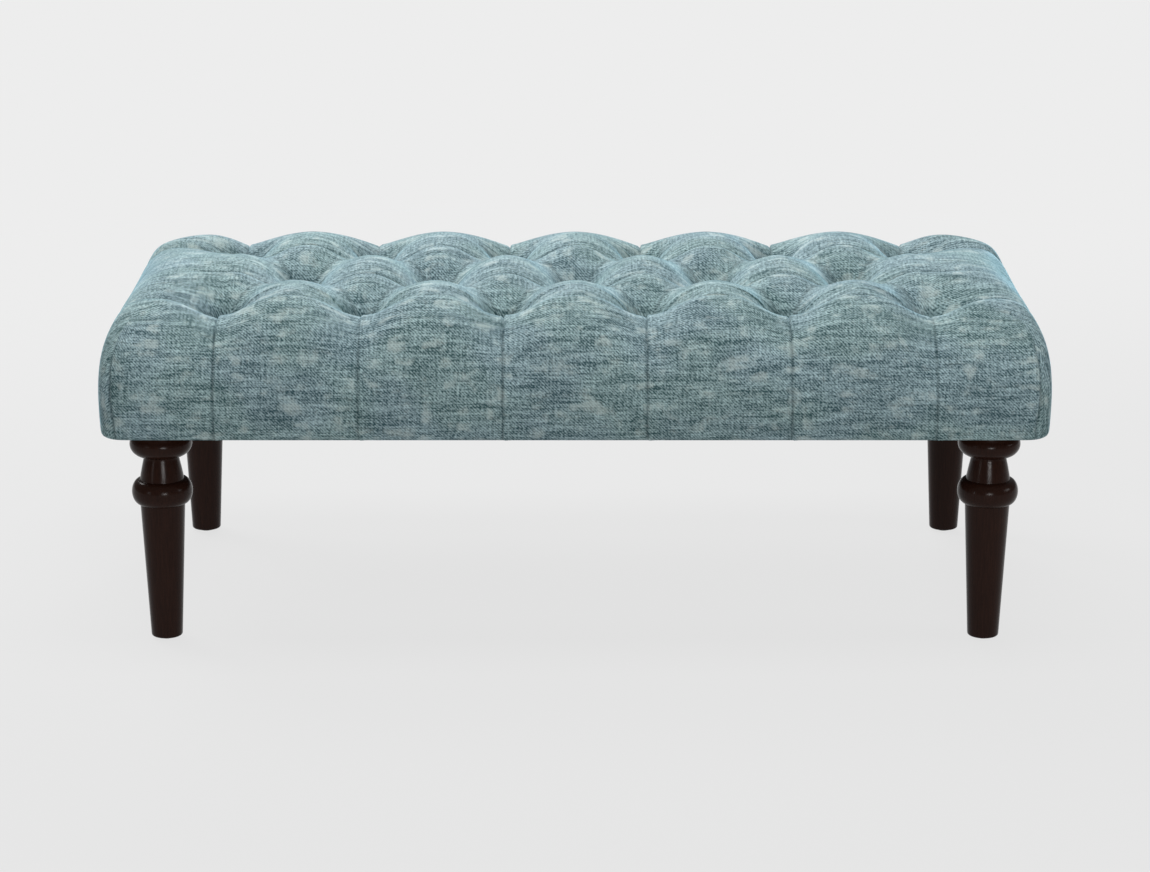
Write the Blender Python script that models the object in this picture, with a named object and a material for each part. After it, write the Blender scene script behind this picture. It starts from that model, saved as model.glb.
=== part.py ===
"""Buttoned footstool: a deep-buttoned pad on a timber frame with four turned, screw-in legs.

Metres, +Z up. The origin is on the floor under the middle of the stool, +X runs along its length and
-Y is its front. The soft layers (cover, wadding and foam) are cut from one skin, so they nest.
"""
import math

import bmesh
import bpy
from mathutils import Matrix, Vector

# Overall body
LENGTH = 1.219
DEPTH = 0.610
CLEARANCE = 0.0003

# Heights, from the floor up
GLIDE_THICKNESS = 0.003
LEG_LENGTH = 0.2773
DUST_COVER_THICKNESS = 0.001
COVER_THICKNESS = 0.002
RAIL_HEIGHT = 0.030
DECK_THICKNESS = 0.012
PAD_RISE = 0.1302

# Soft skin: rounded shoulder, drawn-in foot and the hem that is turned under the rails
WADDING_THICKNESS = 0.005
SHOULDER_WIDTH = 0.095
EDGE_RISE = 0.004
FOOT_DRAW_IN = 0.004
HEM_WIDTH = 0.025
CORNER_POWER = 6.0
MAX_LAYER_STRETCH = 1.5

# Tufts: staggered rows, and the pleats that leave the outer ones
TUFT_STEP = 0.184
ROW_STEP = 0.159
MIN_BORDER = 0.110
TUFT_DEPTH = 0.073
VALLEY_DEPTH = 0.032
FLANK_DEPTH = 0.020
FLANK_PULL = 0.66
CORNER_SAG = 0.010
PLEAT_DEPTHS = (0.028, 0.013, 0.0025, 0.001, 0.0)
BESIDE_PLEAT = 0.3

# Buttons and twine
BUTTON_RADIUS = 0.010
BUTTON_HEIGHT = 0.0065
BUTTON_RIM = 0.00195
BUTTON_BACK_RADIUS = 0.0094
SEAT_MARGIN = 0.0006
EYE_WIDTH = 0.0052
EYE_THICKNESS = 0.0024
EYE_LENGTH = 0.0062
EYE_RADIUS = 0.0013
EYE_ROOT = 0.0016
TWINE_RADIUS = 0.00075
TWINE_HOLE_RADIUS = 0.0050
TWINE_TAIL = 0.020

# Frame
RAIL_THICKNESS = 0.028
CORNER_STEPS = 5
BEARER_COLUMNS = 5
BEARER_WIDTH = 0.030
BEARER_LIFT = 0.002
BLOCK_LIFT = 0.006
BLOCK_REACH = 0.040
DUST_COVER_INSET = 0.014

# Legs: where they stand and the turned profile
LEG_INSET_X = 0.0745
LEG_INSET_Y = 0.063
BUN_HEIGHT = 0.0331
BUN_RADIUS = 0.0403
BUN_TOP_RADIUS = 0.0365
NECK_RADIUS = 0.0222
NECK_FOOT_RADIUS = 0.0285
NECK_HEIGHT = 0.0309
BEAD_HEIGHT = 0.0327
BEAD_RADIUS = 0.03925
TAPER_TOP_RADIUS = 0.0289
TAPER_FOOT_RADIUS = 0.0204
FOOT_EASE = 0.0015
BEAD_SWEEP = 70
ARC_STEPS = 6
LEG_SIDES = 20

# Leg fittings
BOLT_RADIUS = 0.0039
WOOD_SCREW_RADIUS = 0.0035
WOOD_SCREW_DEPTH = 0.032
SCREW_POINT = 0.006
BOLT_CHAMFER = 0.001
TNUT_BARREL_RADIUS = 0.0050
TNUT_BARREL_LENGTH = 0.011
TNUT_FLANGE_RADIUS = 0.0110
TNUT_FLANGE_THICKNESS = 0.0015
THREAD_CLEARANCE = 0.0004
GLIDE_RADIUS = 0.0110
GLIDE_EASE = 0.0012
NAIL_RADIUS = 0.0010
NAIL_LENGTH = 0.013
FITTING_SIDES = 10
BUTTON_SIDES = 8
SMALL_HOLE_SIDES = 6

# Levels worked out from the heights
LEG_FOOT_Z = GLIDE_THICKNESS + CLEARANCE
LEG_TOP_Z = LEG_FOOT_Z + LEG_LENGTH
DUST_COVER_Z = LEG_TOP_Z + CLEARANCE
UNDERSIDE_Z = DUST_COVER_Z + DUST_COVER_THICKNESS + CLEARANCE
RAIL_Z = UNDERSIDE_Z + COVER_THICKNESS + CLEARANCE
DECK_Z = RAIL_Z + RAIL_HEIGHT + CLEARANCE
DECK_TOP_Z = DECK_Z + DECK_THICKNESS
CREST_Z = DECK_TOP_Z + PAD_RISE
SEAT_Z = CREST_Z - TUFT_DEPTH
SHOULDER_DROP = PAD_RISE - EDGE_RISE
BUTTON_Z = SEAT_Z + CLEARANCE
BEARER_HEIGHT = RAIL_HEIGHT - BEARER_LIFT
BLOCK_HEIGHT = RAIL_HEIGHT - BLOCK_LIFT
BLOCK_TOP_Z = UNDERSIDE_Z + BLOCK_HEIGHT
TNUT_TOP_Z = BLOCK_TOP_Z + CLEARANCE + TNUT_FLANGE_THICKNESS

# Depths of the layers under the outside of the cover
WADDING_START = COVER_THICKNESS + CLEARANCE
FOAM_START = WADDING_START + WADDING_THICKNESS + CLEARANCE
FRAME_START = FOOT_DRAW_IN + PLEAT_DEPTHS[3] + FOAM_START

# Plan sizes worked out from the body
HALF_LENGTH = LENGTH / 2
HALF_DEPTH = DEPTH / 2
FRAME_HALF_LENGTH = HALF_LENGTH - FRAME_START
FRAME_HALF_DEPTH = HALF_DEPTH - FRAME_START
FRAME_CORNER_RADIUS = RAIL_THICKNESS - 2 * CLEARANCE
INNER_HALF_LENGTH = FRAME_HALF_LENGTH - RAIL_THICKNESS
INNER_HALF_DEPTH = FRAME_HALF_DEPTH - RAIL_THICKNESS
LEG_X = HALF_LENGTH - LEG_INSET_X
LEG_Y = HALF_DEPTH - LEG_INSET_Y
SIDES = {"left": -1, "right": 1}
FACES = {"front": -1, "back": 1}

# Flat spot under each button, and the twine hole in it, as reaches along X and Y from the tuft
SEAT_REACH = (BUTTON_RADIUS + SEAT_MARGIN) * math.sqrt(2)
HOLE_REACH = (EYE_THICKNESS / 2 + 2 * TWINE_RADIUS + CLEARANCE + SEAT_MARGIN) * math.sqrt(2)

# Grid steps of the skin, and how deep it lies at so many steps from a tuft
COLUMN_STEP = TUFT_STEP / 4
LINE_STEP = ROW_STEP / 2
STEP_DEPTHS = {(0, 0): TUFT_DEPTH, (1, 0): FLANK_DEPTH, (0, 1): FLANK_DEPTH, (1, 1): VALLEY_DEPTH}

# The bearers stand an odd number of columns from the middle, which keeps them clear of the tufts
BEARER_X = BEARER_COLUMNS * COLUMN_STEP

ROW_COUNT = int((DEPTH - 2 * MIN_BORDER) / ROW_STEP) + 1
LONG_ROW_COUNT = int((LENGTH - 2 * MIN_BORDER) / TUFT_STEP) + 1


def tuft_rows():
    """Tuft centres row by row from the front; every other row has one tuft fewer."""
    rows = []
    for row in range(ROW_COUNT):
        count = LONG_ROW_COUNT - row % 2
        y = (row - (ROW_COUNT - 1) / 2) * ROW_STEP
        rows.append([Vector(((k - (count - 1) / 2) * TUFT_STEP, y, 0)) for k in range(count)])
    return rows


TUFT_ROWS = tuft_rows()
TUFTS = [tuft for row in TUFT_ROWS for tuft in row]
OUTER_TUFT_X = TUFT_ROWS[0][-1].x
OUTER_TUFT_Y = TUFT_ROWS[-1][0].y


def nearest_tuft(point):
    return min(TUFTS, key=lambda tuft: (point - tuft.xy).length)


def finish(name, colour, roughness, metallic=0.0):
    """A plain Principled finish."""
    material = bpy.data.materials.new(name)
    material.use_nodes = True
    shader = material.node_tree.nodes["Principled BSDF"]
    shader.inputs["Base Color"].default_value = (*colour, 1.0)
    shader.inputs["Roughness"].default_value = roughness
    shader.inputs["Metallic"].default_value = metallic
    return material


def clear_scene():
    for old in list(bpy.data.objects):
        bpy.data.objects.remove(old, do_unlink=True)


def add_object(name, mesh_data, parent, material, place=(0, 0, 0), turn=0.0):
    """Put a mesh or curve into the scene as a named piece."""
    piece = bpy.data.objects.new(name, mesh_data)
    bpy.context.scene.collection.objects.link(piece)
    piece.parent = parent
    piece.location = place
    piece.rotation_euler.z = turn
    if material is not None and not mesh_data.materials:
        mesh_data.materials.append(material)
    return piece


def to_mesh(name, shape, smooth_angle=35.0):
    """Turn a bmesh into a mesh with outward faces."""
    bmesh.ops.recalc_face_normals(shape, faces=shape.faces)
    mesh_data = bpy.data.meshes.new(name)
    shape.to_mesh(mesh_data)
    shape.free()
    mesh_data.shade_smooth()
    mesh_data.set_sharp_from_angle(angle=math.radians(smooth_angle))
    return mesh_data


def turned(profile, sides, closed=False):
    """A turned solid: a profile of (radius, height) points spun about Z."""
    shape = bmesh.new()
    points = [shape.verts.new((radius, 0, height)) for radius, height in profile]
    edges = [shape.edges.new(pair) for pair in zip(points, points[1:])]
    if closed:
        edges.append(shape.edges.new((points[-1], points[0])))
    bmesh.ops.spin(shape, geom=points + edges, cent=(0, 0, 0), axis=(0, 0, 1), angle=math.tau,
                   steps=sides, use_merge=True, use_duplicate=False)
    bmesh.ops.remove_doubles(shape, verts=shape.verts, dist=1e-6)
    return shape


def board(size, centre, round_corners=(), radius=0.0):
    """A box; round_corners lists the (x sign, y sign) of the upright edges to round."""
    shape = bmesh.new()
    bmesh.ops.create_cube(shape, size=1.0)
    upright = []
    for edge in shape.edges:
        start, end = (vert.co for vert in edge.verts)
        if abs(start.z - end.z) > 0.5:
            corner = (round(math.copysign(1, start.x)), round(math.copysign(1, start.y)))
            if corner in round_corners:
                upright.append(edge)
    bmesh.ops.scale(shape, vec=size, verts=shape.verts)
    if upright:
        bmesh.ops.bevel(shape, geom=upright, offset=radius, affect='EDGES', segments=CORNER_STEPS,
                        profile=0.5, material=-1)
    bmesh.ops.translate(shape, vec=centre, verts=shape.verts)
    return shape


def prism_cutter(name, centres, radius, low, high, sides):
    """Upright prisms at the given centres, kept as a hidden guide for a cut."""
    shape = bmesh.new()
    for centre in centres:
        place = Matrix.Translation((centre.x, centre.y, (low + high) / 2))
        bmesh.ops.create_cone(shape, cap_ends=True, segments=sides, radius1=radius, radius2=radius,
                              depth=high - low, matrix=place)
    cutter = add_object(name, to_mesh(name, shape), None, None)
    cutter.hide_render = True
    cutter.display_type = 'WIRE'
    return cutter


def cut(piece, cutter):
    modifier = piece.modifiers.new("holes", 'BOOLEAN')
    modifier.operation = 'DIFFERENCE'
    modifier.object = cutter


def shoulder_drop(inset):
    """How far the un-tufted top lies under the crest, at a distance in from the side."""
    reach = max(SHOULDER_WIDTH - inset, 0.0) / SHOULDER_WIDTH
    return SHOULDER_DROP * (1 - math.sqrt(1 - reach * reach))


def pleat_share(x, y):
    """How much of the pleat depth a border point takes: all on a pleat, a little beside it."""
    if abs(y) > OUTER_TUFT_Y + LINE_STEP / 2:
        row = TUFT_ROWS[0 if y < 0 else -1]
        steps = round(min(abs(x - tuft.x) for tuft in row) / COLUMN_STEP)
        return (1.0, BESIDE_PLEAT)[steps] if steps < 2 and abs(x) < FIELD_X else 0.0
    return 1.0 if min(abs(y - row[0].y) for row in TUFT_ROWS[::2]) < LINE_STEP / 2 else 0.0


# The skin is a grid of quarter tuft steps by half row steps, with four rings folded down around it
RINGS = 4
RING_ANGLE = math.radians(45)
RING_SHAPE = (
    (SHOULDER_WIDTH * (1 - math.cos(RING_ANGLE)), CREST_Z - SHOULDER_DROP * (1 - math.sin(RING_ANGLE))),
    (0.0, CREST_Z - SHOULDER_DROP),
    (FOOT_DRAW_IN, UNDERSIDE_Z),
    (FOOT_DRAW_IN + HEM_WIDTH, UNDERSIDE_Z),
)
COLUMNS = 4 * (LONG_ROW_COUNT - 1) + 2
LINES = 2 * (ROW_COUNT - 1) + 2
FIELD_X = OUTER_TUFT_X + COLUMN_STEP
FIELD_Y = OUTER_TUFT_Y + LINE_STEP


def top_point(column, line):
    """A point of the skin on the buttoned top: tuft, flank, valley or crest, or the border round them."""
    place = Vector(((column - COLUMNS / 2) * COLUMN_STEP, (line - LINES / 2) * LINE_STEP))
    if abs(place.x) < FIELD_X - COLUMN_STEP / 2 and abs(place.y) < FIELD_Y - LINE_STEP / 2:
        tuft = nearest_tuft(place).xy
        away = place - tuft
        steps = (round(abs(away.x) / COLUMN_STEP), round(abs(away.y) / LINE_STEP))
        depth = STEP_DEPTHS.get(steps, 0.0)
        if sum(steps) == 1:
            place = tuft + away * FLANK_PULL
    else:
        depth = PLEAT_DEPTHS[0] * pleat_share(*place)
        if abs(column - COLUMNS / 2) == COLUMNS / 2 and abs(line - LINES / 2) == LINES / 2:
            depth = CORNER_SAG
    crown = CREST_Z - shoulder_drop(HALF_LENGTH - abs(place.x)) - shoulder_drop(HALF_DEPTH - abs(place.y))
    return Vector((place.x, place.y, crown - depth))


def ring_point(column, line, out_x, out_y):
    """A point of the skin on the shoulder, the side or the hem."""
    ring = max(abs(out_x), abs(out_y))
    inset, z = RING_SHAPE[ring - 1]
    pleat = PLEAT_DEPTHS[ring]
    if out_x and out_y:
        share = abs(out_y) / ring / 2 if abs(out_x) == ring else 1 - abs(out_x) / ring / 2
        angle = share * math.pi / 2
        power = 2 / CORNER_POWER
        x = FIELD_X + (HALF_LENGTH - inset - FIELD_X) * max(math.cos(angle), 0.0) ** power
        y = FIELD_Y + (HALF_DEPTH - inset - FIELD_Y) * max(math.sin(angle), 0.0) ** power
        return Vector((math.copysign(x, out_x), math.copysign(y, out_y), z))
    x = (column - COLUMNS / 2) * COLUMN_STEP
    y = (line - LINES / 2) * LINE_STEP
    if out_x:
        inset += pleat * pleat_share(x, y)
        return Vector((math.copysign(HALF_LENGTH - inset, out_x), y, z))
    inset += pleat * pleat_share(x, math.copysign(HALF_DEPTH, out_y))
    return Vector((x, math.copysign(HALF_DEPTH - inset, out_y), z))


def place_on_skin(vert, ring_layer):
    """Move a flat grid point, whose x and y are its column and line, onto the skin."""
    column = round(vert.co.x)
    line = round(vert.co.y)
    out_x = min(column, 0) + max(column - COLUMNS, 0)
    out_y = min(line, 0) + max(line - LINES, 0)
    vert[ring_layer] = max(abs(out_x), abs(out_y))
    if vert[ring_layer]:
        vert.co = ring_point(column, line, out_x, out_y)
    else:
        vert.co = top_point(column, line)


def set_reach(verts, reach):
    """Lay points flat on the seat of their tuft, at a given reach from its centre."""
    for vert in verts:
        tuft = nearest_tuft(vert.co.xy)
        outward = (vert.co.xy - tuft.xy).normalized() * reach
        vert.co = (tuft.x + outward.x, tuft.y + outward.y, SEAT_Z)


def make_skin():
    """The outside of the cover as one open sheet, with a seat and a twine hole at each tuft."""
    skin = bmesh.new()
    ring_layer = skin.verts.layers.int.new("ring")
    inward = skin.verts.layers.float_vector.new("inward")
    wide = COLUMNS + 2 * RINGS
    deep = LINES + 2 * RINGS
    bmesh.ops.create_grid(skin, x_segments=wide, y_segments=deep, size=0.5)
    bmesh.ops.scale(skin, vec=(wide, deep, 1), verts=skin.verts)
    bmesh.ops.translate(skin, vec=(COLUMNS / 2, LINES / 2, 0), verts=skin.verts)
    for vert in skin.verts:
        place_on_skin(vert, ring_layer)

    top_points = [vert for vert in skin.verts if vert[ring_layer] == 0]
    tuft_points = [vert for vert in top_points
                   if (vert.co.xy - nearest_tuft(vert.co.xy).xy).length < CLEARANCE]
    made = bmesh.ops.bevel(skin, geom=tuft_points, offset=SEAT_REACH, affect='VERTICES', segments=1,
                           profile=0.5, material=-1)
    set_reach(made["verts"], SEAT_REACH)
    seats = made["faces"]
    split_valleys(skin, set(made["verts"]))
    bmesh.ops.inset_individual(skin, faces=seats, thickness=(SEAT_REACH - HOLE_REACH) / math.sqrt(2))
    set_reach({vert for face in seats for vert in face.verts}, HOLE_REACH)
    bmesh.ops.delete(skin, geom=seats, context='FACES_ONLY')
    bmesh.ops.triangulate(skin, faces=skin.faces, quad_method='BEAUTY', ngon_method='BEAUTY')
    skin.normal_update()
    for vert in skin.verts:
        vert[inward] = vert.normal * -min(vert.calc_shell_factor(), MAX_LAYER_STRETCH)
    return skin


def split_valleys(skin, seat_points):
    """Run each diagonal valley from its far corner to the two seat points of the cell it enters."""
    for face in list(skin.faces):
        near = [vert for vert in face.verts if vert in seat_points]
        if len(face.verts) != 5 or len(near) != 2:
            continue
        beside = {vert for edge in face.edges for vert in edge.verts if edge.verts[0] in near
                  or edge.verts[1] in near}
        far = next(vert for vert in face.verts if vert not in beside)
        for vert in near:
            cell = next(other for other in far.link_faces if vert in other.verts)
            bmesh.utils.face_split(cell, far, vert)


def layer(skin, outer, inner, last_ring, flat_z=None):
    """A closed soft layer between two depths under the skin, down to last_ring."""
    shape = skin.copy()
    ring_layer = shape.verts.layers.int["ring"]
    inward = shape.verts.layers.float_vector["inward"]
    spare = [vert for vert in shape.verts if vert[ring_layer] > last_ring]
    bmesh.ops.delete(shape, geom=spare, context='VERTS')
    for vert in shape.verts:
        vert.co += vert[inward] * outer
    copied = bmesh.ops.extrude_face_region(shape, geom=shape.faces[:], use_keep_orig=True)
    for vert in copied["geom"]:
        if isinstance(vert, bmesh.types.BMVert):
            vert.co += vert[inward] * (inner - outer)
            if flat_z is not None:
                vert.co.z = flat_z
    return shape


def arc(centre, radius_x, radius_z, start, end, steps):
    """Points on an elliptical arc; angles in degrees from +X."""
    points = []
    for step in range(steps):
        angle = math.radians(start + (end - start) * step / (steps - 1))
        points.append((centre[0] + radius_x * math.cos(angle), centre[1] + radius_z * math.sin(angle)))
    return points


def leg_profile():
    """Turned leg from the bolt hole over the outside to the nail hole, heights from the leg's top."""
    hole_radius = WOOD_SCREW_RADIUS + THREAD_CLEARANCE
    nail_radius = NAIL_RADIUS + CLEARANCE
    neck_top = -BUN_HEIGHT
    neck_foot = neck_top - NECK_HEIGHT
    taper_top = neck_foot - BEAD_HEIGHT
    bun_middle = neck_top + BUN_HEIGHT / 2
    lip = math.degrees(math.acos((BUN_TOP_RADIUS - NECK_RADIUS) / (BUN_RADIUS - NECK_RADIUS)))
    profile = [(0, -WOOD_SCREW_DEPTH - CLEARANCE), (hole_radius, -WOOD_SCREW_DEPTH - CLEARANCE)]
    profile += [(hole_radius, 0), (BUN_TOP_RADIUS, 0)]
    profile += arc((NECK_RADIUS, bun_middle), BUN_RADIUS - NECK_RADIUS, BUN_HEIGHT / 2, lip, -90, ARC_STEPS)
    bead_root = (NECK_FOOT_RADIUS + TAPER_TOP_RADIUS) / 2
    profile += [(NECK_FOOT_RADIUS, neck_foot)]
    profile += arc((bead_root, neck_foot - BEAD_HEIGHT / 2), BEAD_RADIUS - bead_root, BEAD_HEIGHT / 2,
                   BEAD_SWEEP, -BEAD_SWEEP, ARC_STEPS)
    profile += [(TAPER_TOP_RADIUS, taper_top), (TAPER_FOOT_RADIUS, FOOT_EASE - LEG_LENGTH)]
    profile += [(TAPER_FOOT_RADIUS - FOOT_EASE, -LEG_LENGTH), (nail_radius, -LEG_LENGTH)]
    nail_top = NAIL_LENGTH + CLEARANCE - LEG_LENGTH
    profile += [(nail_radius, nail_top), (0, nail_top)]
    return profile


def bolt_profile():
    """Hanger bolt, heights from the leg's top."""
    top = TNUT_TOP_Z + BOLT_CHAMFER / 2 - LEG_TOP_Z
    return [(0, top), (BOLT_RADIUS - BOLT_CHAMFER, top), (BOLT_RADIUS, top - BOLT_CHAMFER),
            (BOLT_RADIUS, CLEARANCE), (WOOD_SCREW_RADIUS, 0),
            (WOOD_SCREW_RADIUS, SCREW_POINT - WOOD_SCREW_DEPTH), (0, -WOOD_SCREW_DEPTH)]


def tnut_profile():
    """Flanged threaded insert, heights from the leg's top."""
    bore = BOLT_RADIUS + THREAD_CLEARANCE
    top = TNUT_TOP_Z - LEG_TOP_Z
    under = top - TNUT_FLANGE_THICKNESS
    foot = under - TNUT_BARREL_LENGTH
    return [(bore, top), (TNUT_FLANGE_RADIUS, top), (TNUT_FLANGE_RADIUS, under),
            (TNUT_BARREL_RADIUS, under), (TNUT_BARREL_RADIUS, foot), (bore, foot)]


def glide_profile():
    """Nail-on glide, heights from the floor."""
    nail_top = GLIDE_THICKNESS + CLEARANCE + NAIL_LENGTH
    return [(0, nail_top), (NAIL_RADIUS, nail_top - NAIL_RADIUS), (NAIL_RADIUS, GLIDE_THICKNESS),
            (GLIDE_RADIUS, GLIDE_THICKNESS), (GLIDE_RADIUS, GLIDE_EASE),
            (GLIDE_RADIUS - GLIDE_EASE, 0), (0, 0)]


def button_mesh():
    """Covered button with a flat eye behind; its origin is the middle of its back."""
    dome = [(0, BUTTON_HEIGHT)]
    dome += arc((0, BUTTON_RIM), BUTTON_RADIUS, BUTTON_HEIGHT - BUTTON_RIM, 60, 0, 3)
    dome += [(BUTTON_BACK_RADIUS, 0), (0, 0)]
    button = add_object("button_form", to_mesh("button", turned(dome, BUTTON_SIDES)), None, None)
    eye_size = (EYE_THICKNESS, EYE_WIDTH, EYE_LENGTH + EYE_ROOT)
    eye_plate = board(eye_size, (0, 0, (EYE_ROOT - EYE_LENGTH) / 2))
    eye = add_object("eye_form", to_mesh("eye_form", eye_plate), None, None)
    hole_shape = bmesh.new()
    lying = Matrix.Translation((0, 0, eye_height())) @ Matrix.Rotation(math.pi / 2, 4, 'Y')
    bmesh.ops.create_cone(hole_shape, cap_ends=True, segments=SMALL_HOLE_SIDES, radius1=EYE_RADIUS,
                          radius2=EYE_RADIUS, depth=3 * EYE_THICKNESS, matrix=lying)
    hole = add_object("eye_hole_form", to_mesh("eye_hole_form", hole_shape), None, None)
    for operation, form in (('UNION', eye), ('DIFFERENCE', hole)):
        modifier = button.modifiers.new(operation.lower(), 'BOOLEAN')
        modifier.operation = operation
        modifier.object = form
    graph = bpy.context.evaluated_depsgraph_get()
    mesh_data = bpy.data.meshes.new_from_object(button.evaluated_get(graph))
    for form in (button, eye, hole):
        bpy.data.objects.remove(form, do_unlink=True)
    return mesh_data


def eye_height():
    """Height of the eye's hole, from the button's back."""
    return EYE_WIDTH / 2 - EYE_LENGTH


def lacing_bays():
    """Tufts of each bay between the bearers, in lacing order: to and fro, from the back row."""
    bays = {"left": [], "centre": [], "right": []}
    for count, row in enumerate(reversed(TUFT_ROWS)):
        ordered = row if count % 2 == 0 else list(reversed(row))
        for tuft in ordered:
            bay = "left" if tuft.x < -BEARER_X else "right" if tuft.x > BEARER_X else "centre"
            bays[bay].append(tuft)
    return {bay: tufts for bay, tufts in bays.items() if tufts}


def lacing_directions(tufts):
    """Plan direction of the twine through each button's eye."""
    directions = []
    for index, tuft in enumerate(tufts):
        before = tufts[max(index - 1, 0)]
        after = tufts[min(index + 1, len(tufts) - 1)]
        directions.append((after - before).normalized() if len(tufts) > 1 else Vector((1, 0, 0)))
    return directions


def twine_route(tufts):
    """Under the deck from tuft to tuft, up to each button, through its eye and down again."""
    low = DECK_Z - CLEARANCE - TWINE_RADIUS
    high = BUTTON_Z + eye_height()
    bend = 2 * TWINE_RADIUS
    spread = EYE_THICKNESS / 2 + TWINE_RADIUS + CLEARANCE
    up = Vector((0, 0, 1))
    route = []
    directions = lacing_directions(tufts)
    route.append(tufts[0] - directions[0] * TWINE_TAIL + up * low)
    for tuft, along in zip(tufts, directions):
        for side in (-1, 1):
            strand = tuft + along * spread * side
            corner = [strand + up * (low + bend), strand + up * (high - bend)]
            knee = strand + along * bend * side + up * low
            over = tuft + along * (spread - bend / 2) * side + up * high
            leg = [knee, *corner, over]
            route += leg if side < 0 else reversed(leg)
    route.append(tufts[-1] + directions[-1] * TWINE_TAIL + up * low)
    return route


def twine_curve(name, route):
    curve = bpy.data.curves.new(name, 'CURVE')
    curve.dimensions = '3D'
    curve.bevel_depth = TWINE_RADIUS
    curve.bevel_resolution = 0
    curve.use_fill_caps = True
    spline = curve.splines.new('POLY')
    spline.points.add(len(route) - 1)
    for point, place in zip(spline.points, route):
        point.co = (*place, 1)
    return curve


def build_upholstery(stool, fabric, wadding, foam):
    skin = make_skin()
    layers = (
        ("cover", fabric, (0.0, COVER_THICKNESS, RINGS)),
        ("wadding", wadding, (WADDING_START, WADDING_START + WADDING_THICKNESS, RINGS - 1)),
        ("foam_pad", foam, (FOAM_START, FOAM_START, RINGS - 2, DECK_TOP_Z + CLEARANCE)),
    )
    for name, material, span in layers:
        add_object(name, to_mesh(name, layer(skin, *span), smooth_angle=180.0), stool, material)
    skin.free()


def build_frame(stool, timber, plywood, dust_cloth):
    all_corners = tuple((x, y) for x in SIDES.values() for y in FACES.values())
    rail_middle = RAIL_Z + RAIL_HEIGHT / 2
    rail_y = FRAME_HALF_DEPTH - RAIL_THICKNESS / 2
    for face, sign in FACES.items():
        size = (2 * FRAME_HALF_LENGTH, RAIL_THICKNESS, RAIL_HEIGHT)
        rounded = [(x, sign) for x in SIDES.values()]
        shape = board(size, (0, sign * rail_y, rail_middle), rounded, FRAME_CORNER_RADIUS)
        add_object(face + "_rail", to_mesh(face + "_rail", shape), stool, timber)
    rail_x = FRAME_HALF_LENGTH - RAIL_THICKNESS / 2
    for side, sign in SIDES.items():
        name = side + "_end_rail"
        size = (RAIL_THICKNESS, 2 * (INNER_HALF_DEPTH - CLEARANCE), RAIL_HEIGHT)
        add_object(name, to_mesh(name, board(size, (sign * rail_x, 0, rail_middle))), stool, timber)
        name = side + "_cross_bearer"
        size = (BEARER_WIDTH, 2 * (INNER_HALF_DEPTH - CLEARANCE), BEARER_HEIGHT)
        centre = (sign * BEARER_X, 0, DECK_Z - CLEARANCE - BEARER_HEIGHT / 2)
        add_object(name, to_mesh(name, board(size, centre)), stool, timber)

    deck_size = (2 * FRAME_HALF_LENGTH, 2 * FRAME_HALF_DEPTH, DECK_THICKNESS)
    deck_shape = board(deck_size, (0, 0, DECK_Z + DECK_THICKNESS / 2), all_corners, FRAME_CORNER_RADIUS)
    deck = add_object("deck_board", to_mesh("deck_board", deck_shape), stool, plywood)
    cut(deck, prism_cutter("twine_holes", TUFTS, TWINE_HOLE_RADIUS, DECK_Z - DECK_THICKNESS,
                           DECK_TOP_Z + DECK_THICKNESS, SMALL_HOLE_SIDES))

    sheet_size = (LENGTH - 2 * DUST_COVER_INSET, DEPTH - 2 * DUST_COVER_INSET, DUST_COVER_THICKNESS)
    sheet_centre = (0, 0, DUST_COVER_Z + DUST_COVER_THICKNESS / 2)
    sheet_shape = board(sheet_size, sheet_centre, all_corners, FRAME_CORNER_RADIUS)
    sheet = add_object("dust_cover", to_mesh("dust_cover", sheet_shape), stool, dust_cloth)
    legs = [Vector((x * LEG_X, y * LEG_Y, 0)) for x, y in all_corners]
    cut(sheet, prism_cutter("bolt_holes_in_cloth", legs, TNUT_BARREL_RADIUS + SEAT_MARGIN, LEG_TOP_Z,
                            UNDERSIDE_Z + DUST_COVER_THICKNESS, FITTING_SIDES))


def build_corner(stool, corner, sign_x, sign_y, finishes):
    """Corner block, T-nut, hanger bolt, leg and glide at one corner."""
    axis = Vector((sign_x * LEG_X, sign_y * LEG_Y, 0))
    near_x, near_y = LEG_X - BLOCK_REACH, LEG_Y - BLOCK_REACH
    far_x, far_y = INNER_HALF_LENGTH - CLEARANCE, INNER_HALF_DEPTH - CLEARANCE
    centre = (sign_x * (near_x + far_x) / 2, sign_y * (near_y + far_y) / 2, UNDERSIDE_Z + BLOCK_HEIGHT / 2)
    name = corner + "_corner_block"
    shape = board((far_x - near_x, far_y - near_y, BLOCK_HEIGHT), centre)
    block = add_object(name, to_mesh(name, shape), stool, finishes["timber"])
    hole_radius = TNUT_BARREL_RADIUS + CLEARANCE + THREAD_CLEARANCE
    cut(block, prism_cutter(corner + "_bolt_hole", [axis], hole_radius, UNDERSIDE_Z - BLOCK_HEIGHT,
                            BLOCK_TOP_Z + BLOCK_HEIGHT, FITTING_SIDES))

    on_leg_top = axis + Vector((0, 0, LEG_TOP_Z))
    turned_pieces = (
        ("_t_nut", turned(tnut_profile(), FITTING_SIDES, closed=True), "steel", on_leg_top),
        ("_hanger_bolt", turned(bolt_profile(), FITTING_SIDES), "steel", on_leg_top),
        ("_leg", turned(leg_profile(), LEG_SIDES), "lacquer", on_leg_top),
        ("_glide", turned(glide_profile(), FITTING_SIDES), "nylon", axis),
    )
    for suffix, form, material, place in turned_pieces:
        name = corner + suffix
        add_object(name, to_mesh(name, form), stool, finishes[material], place)


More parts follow.
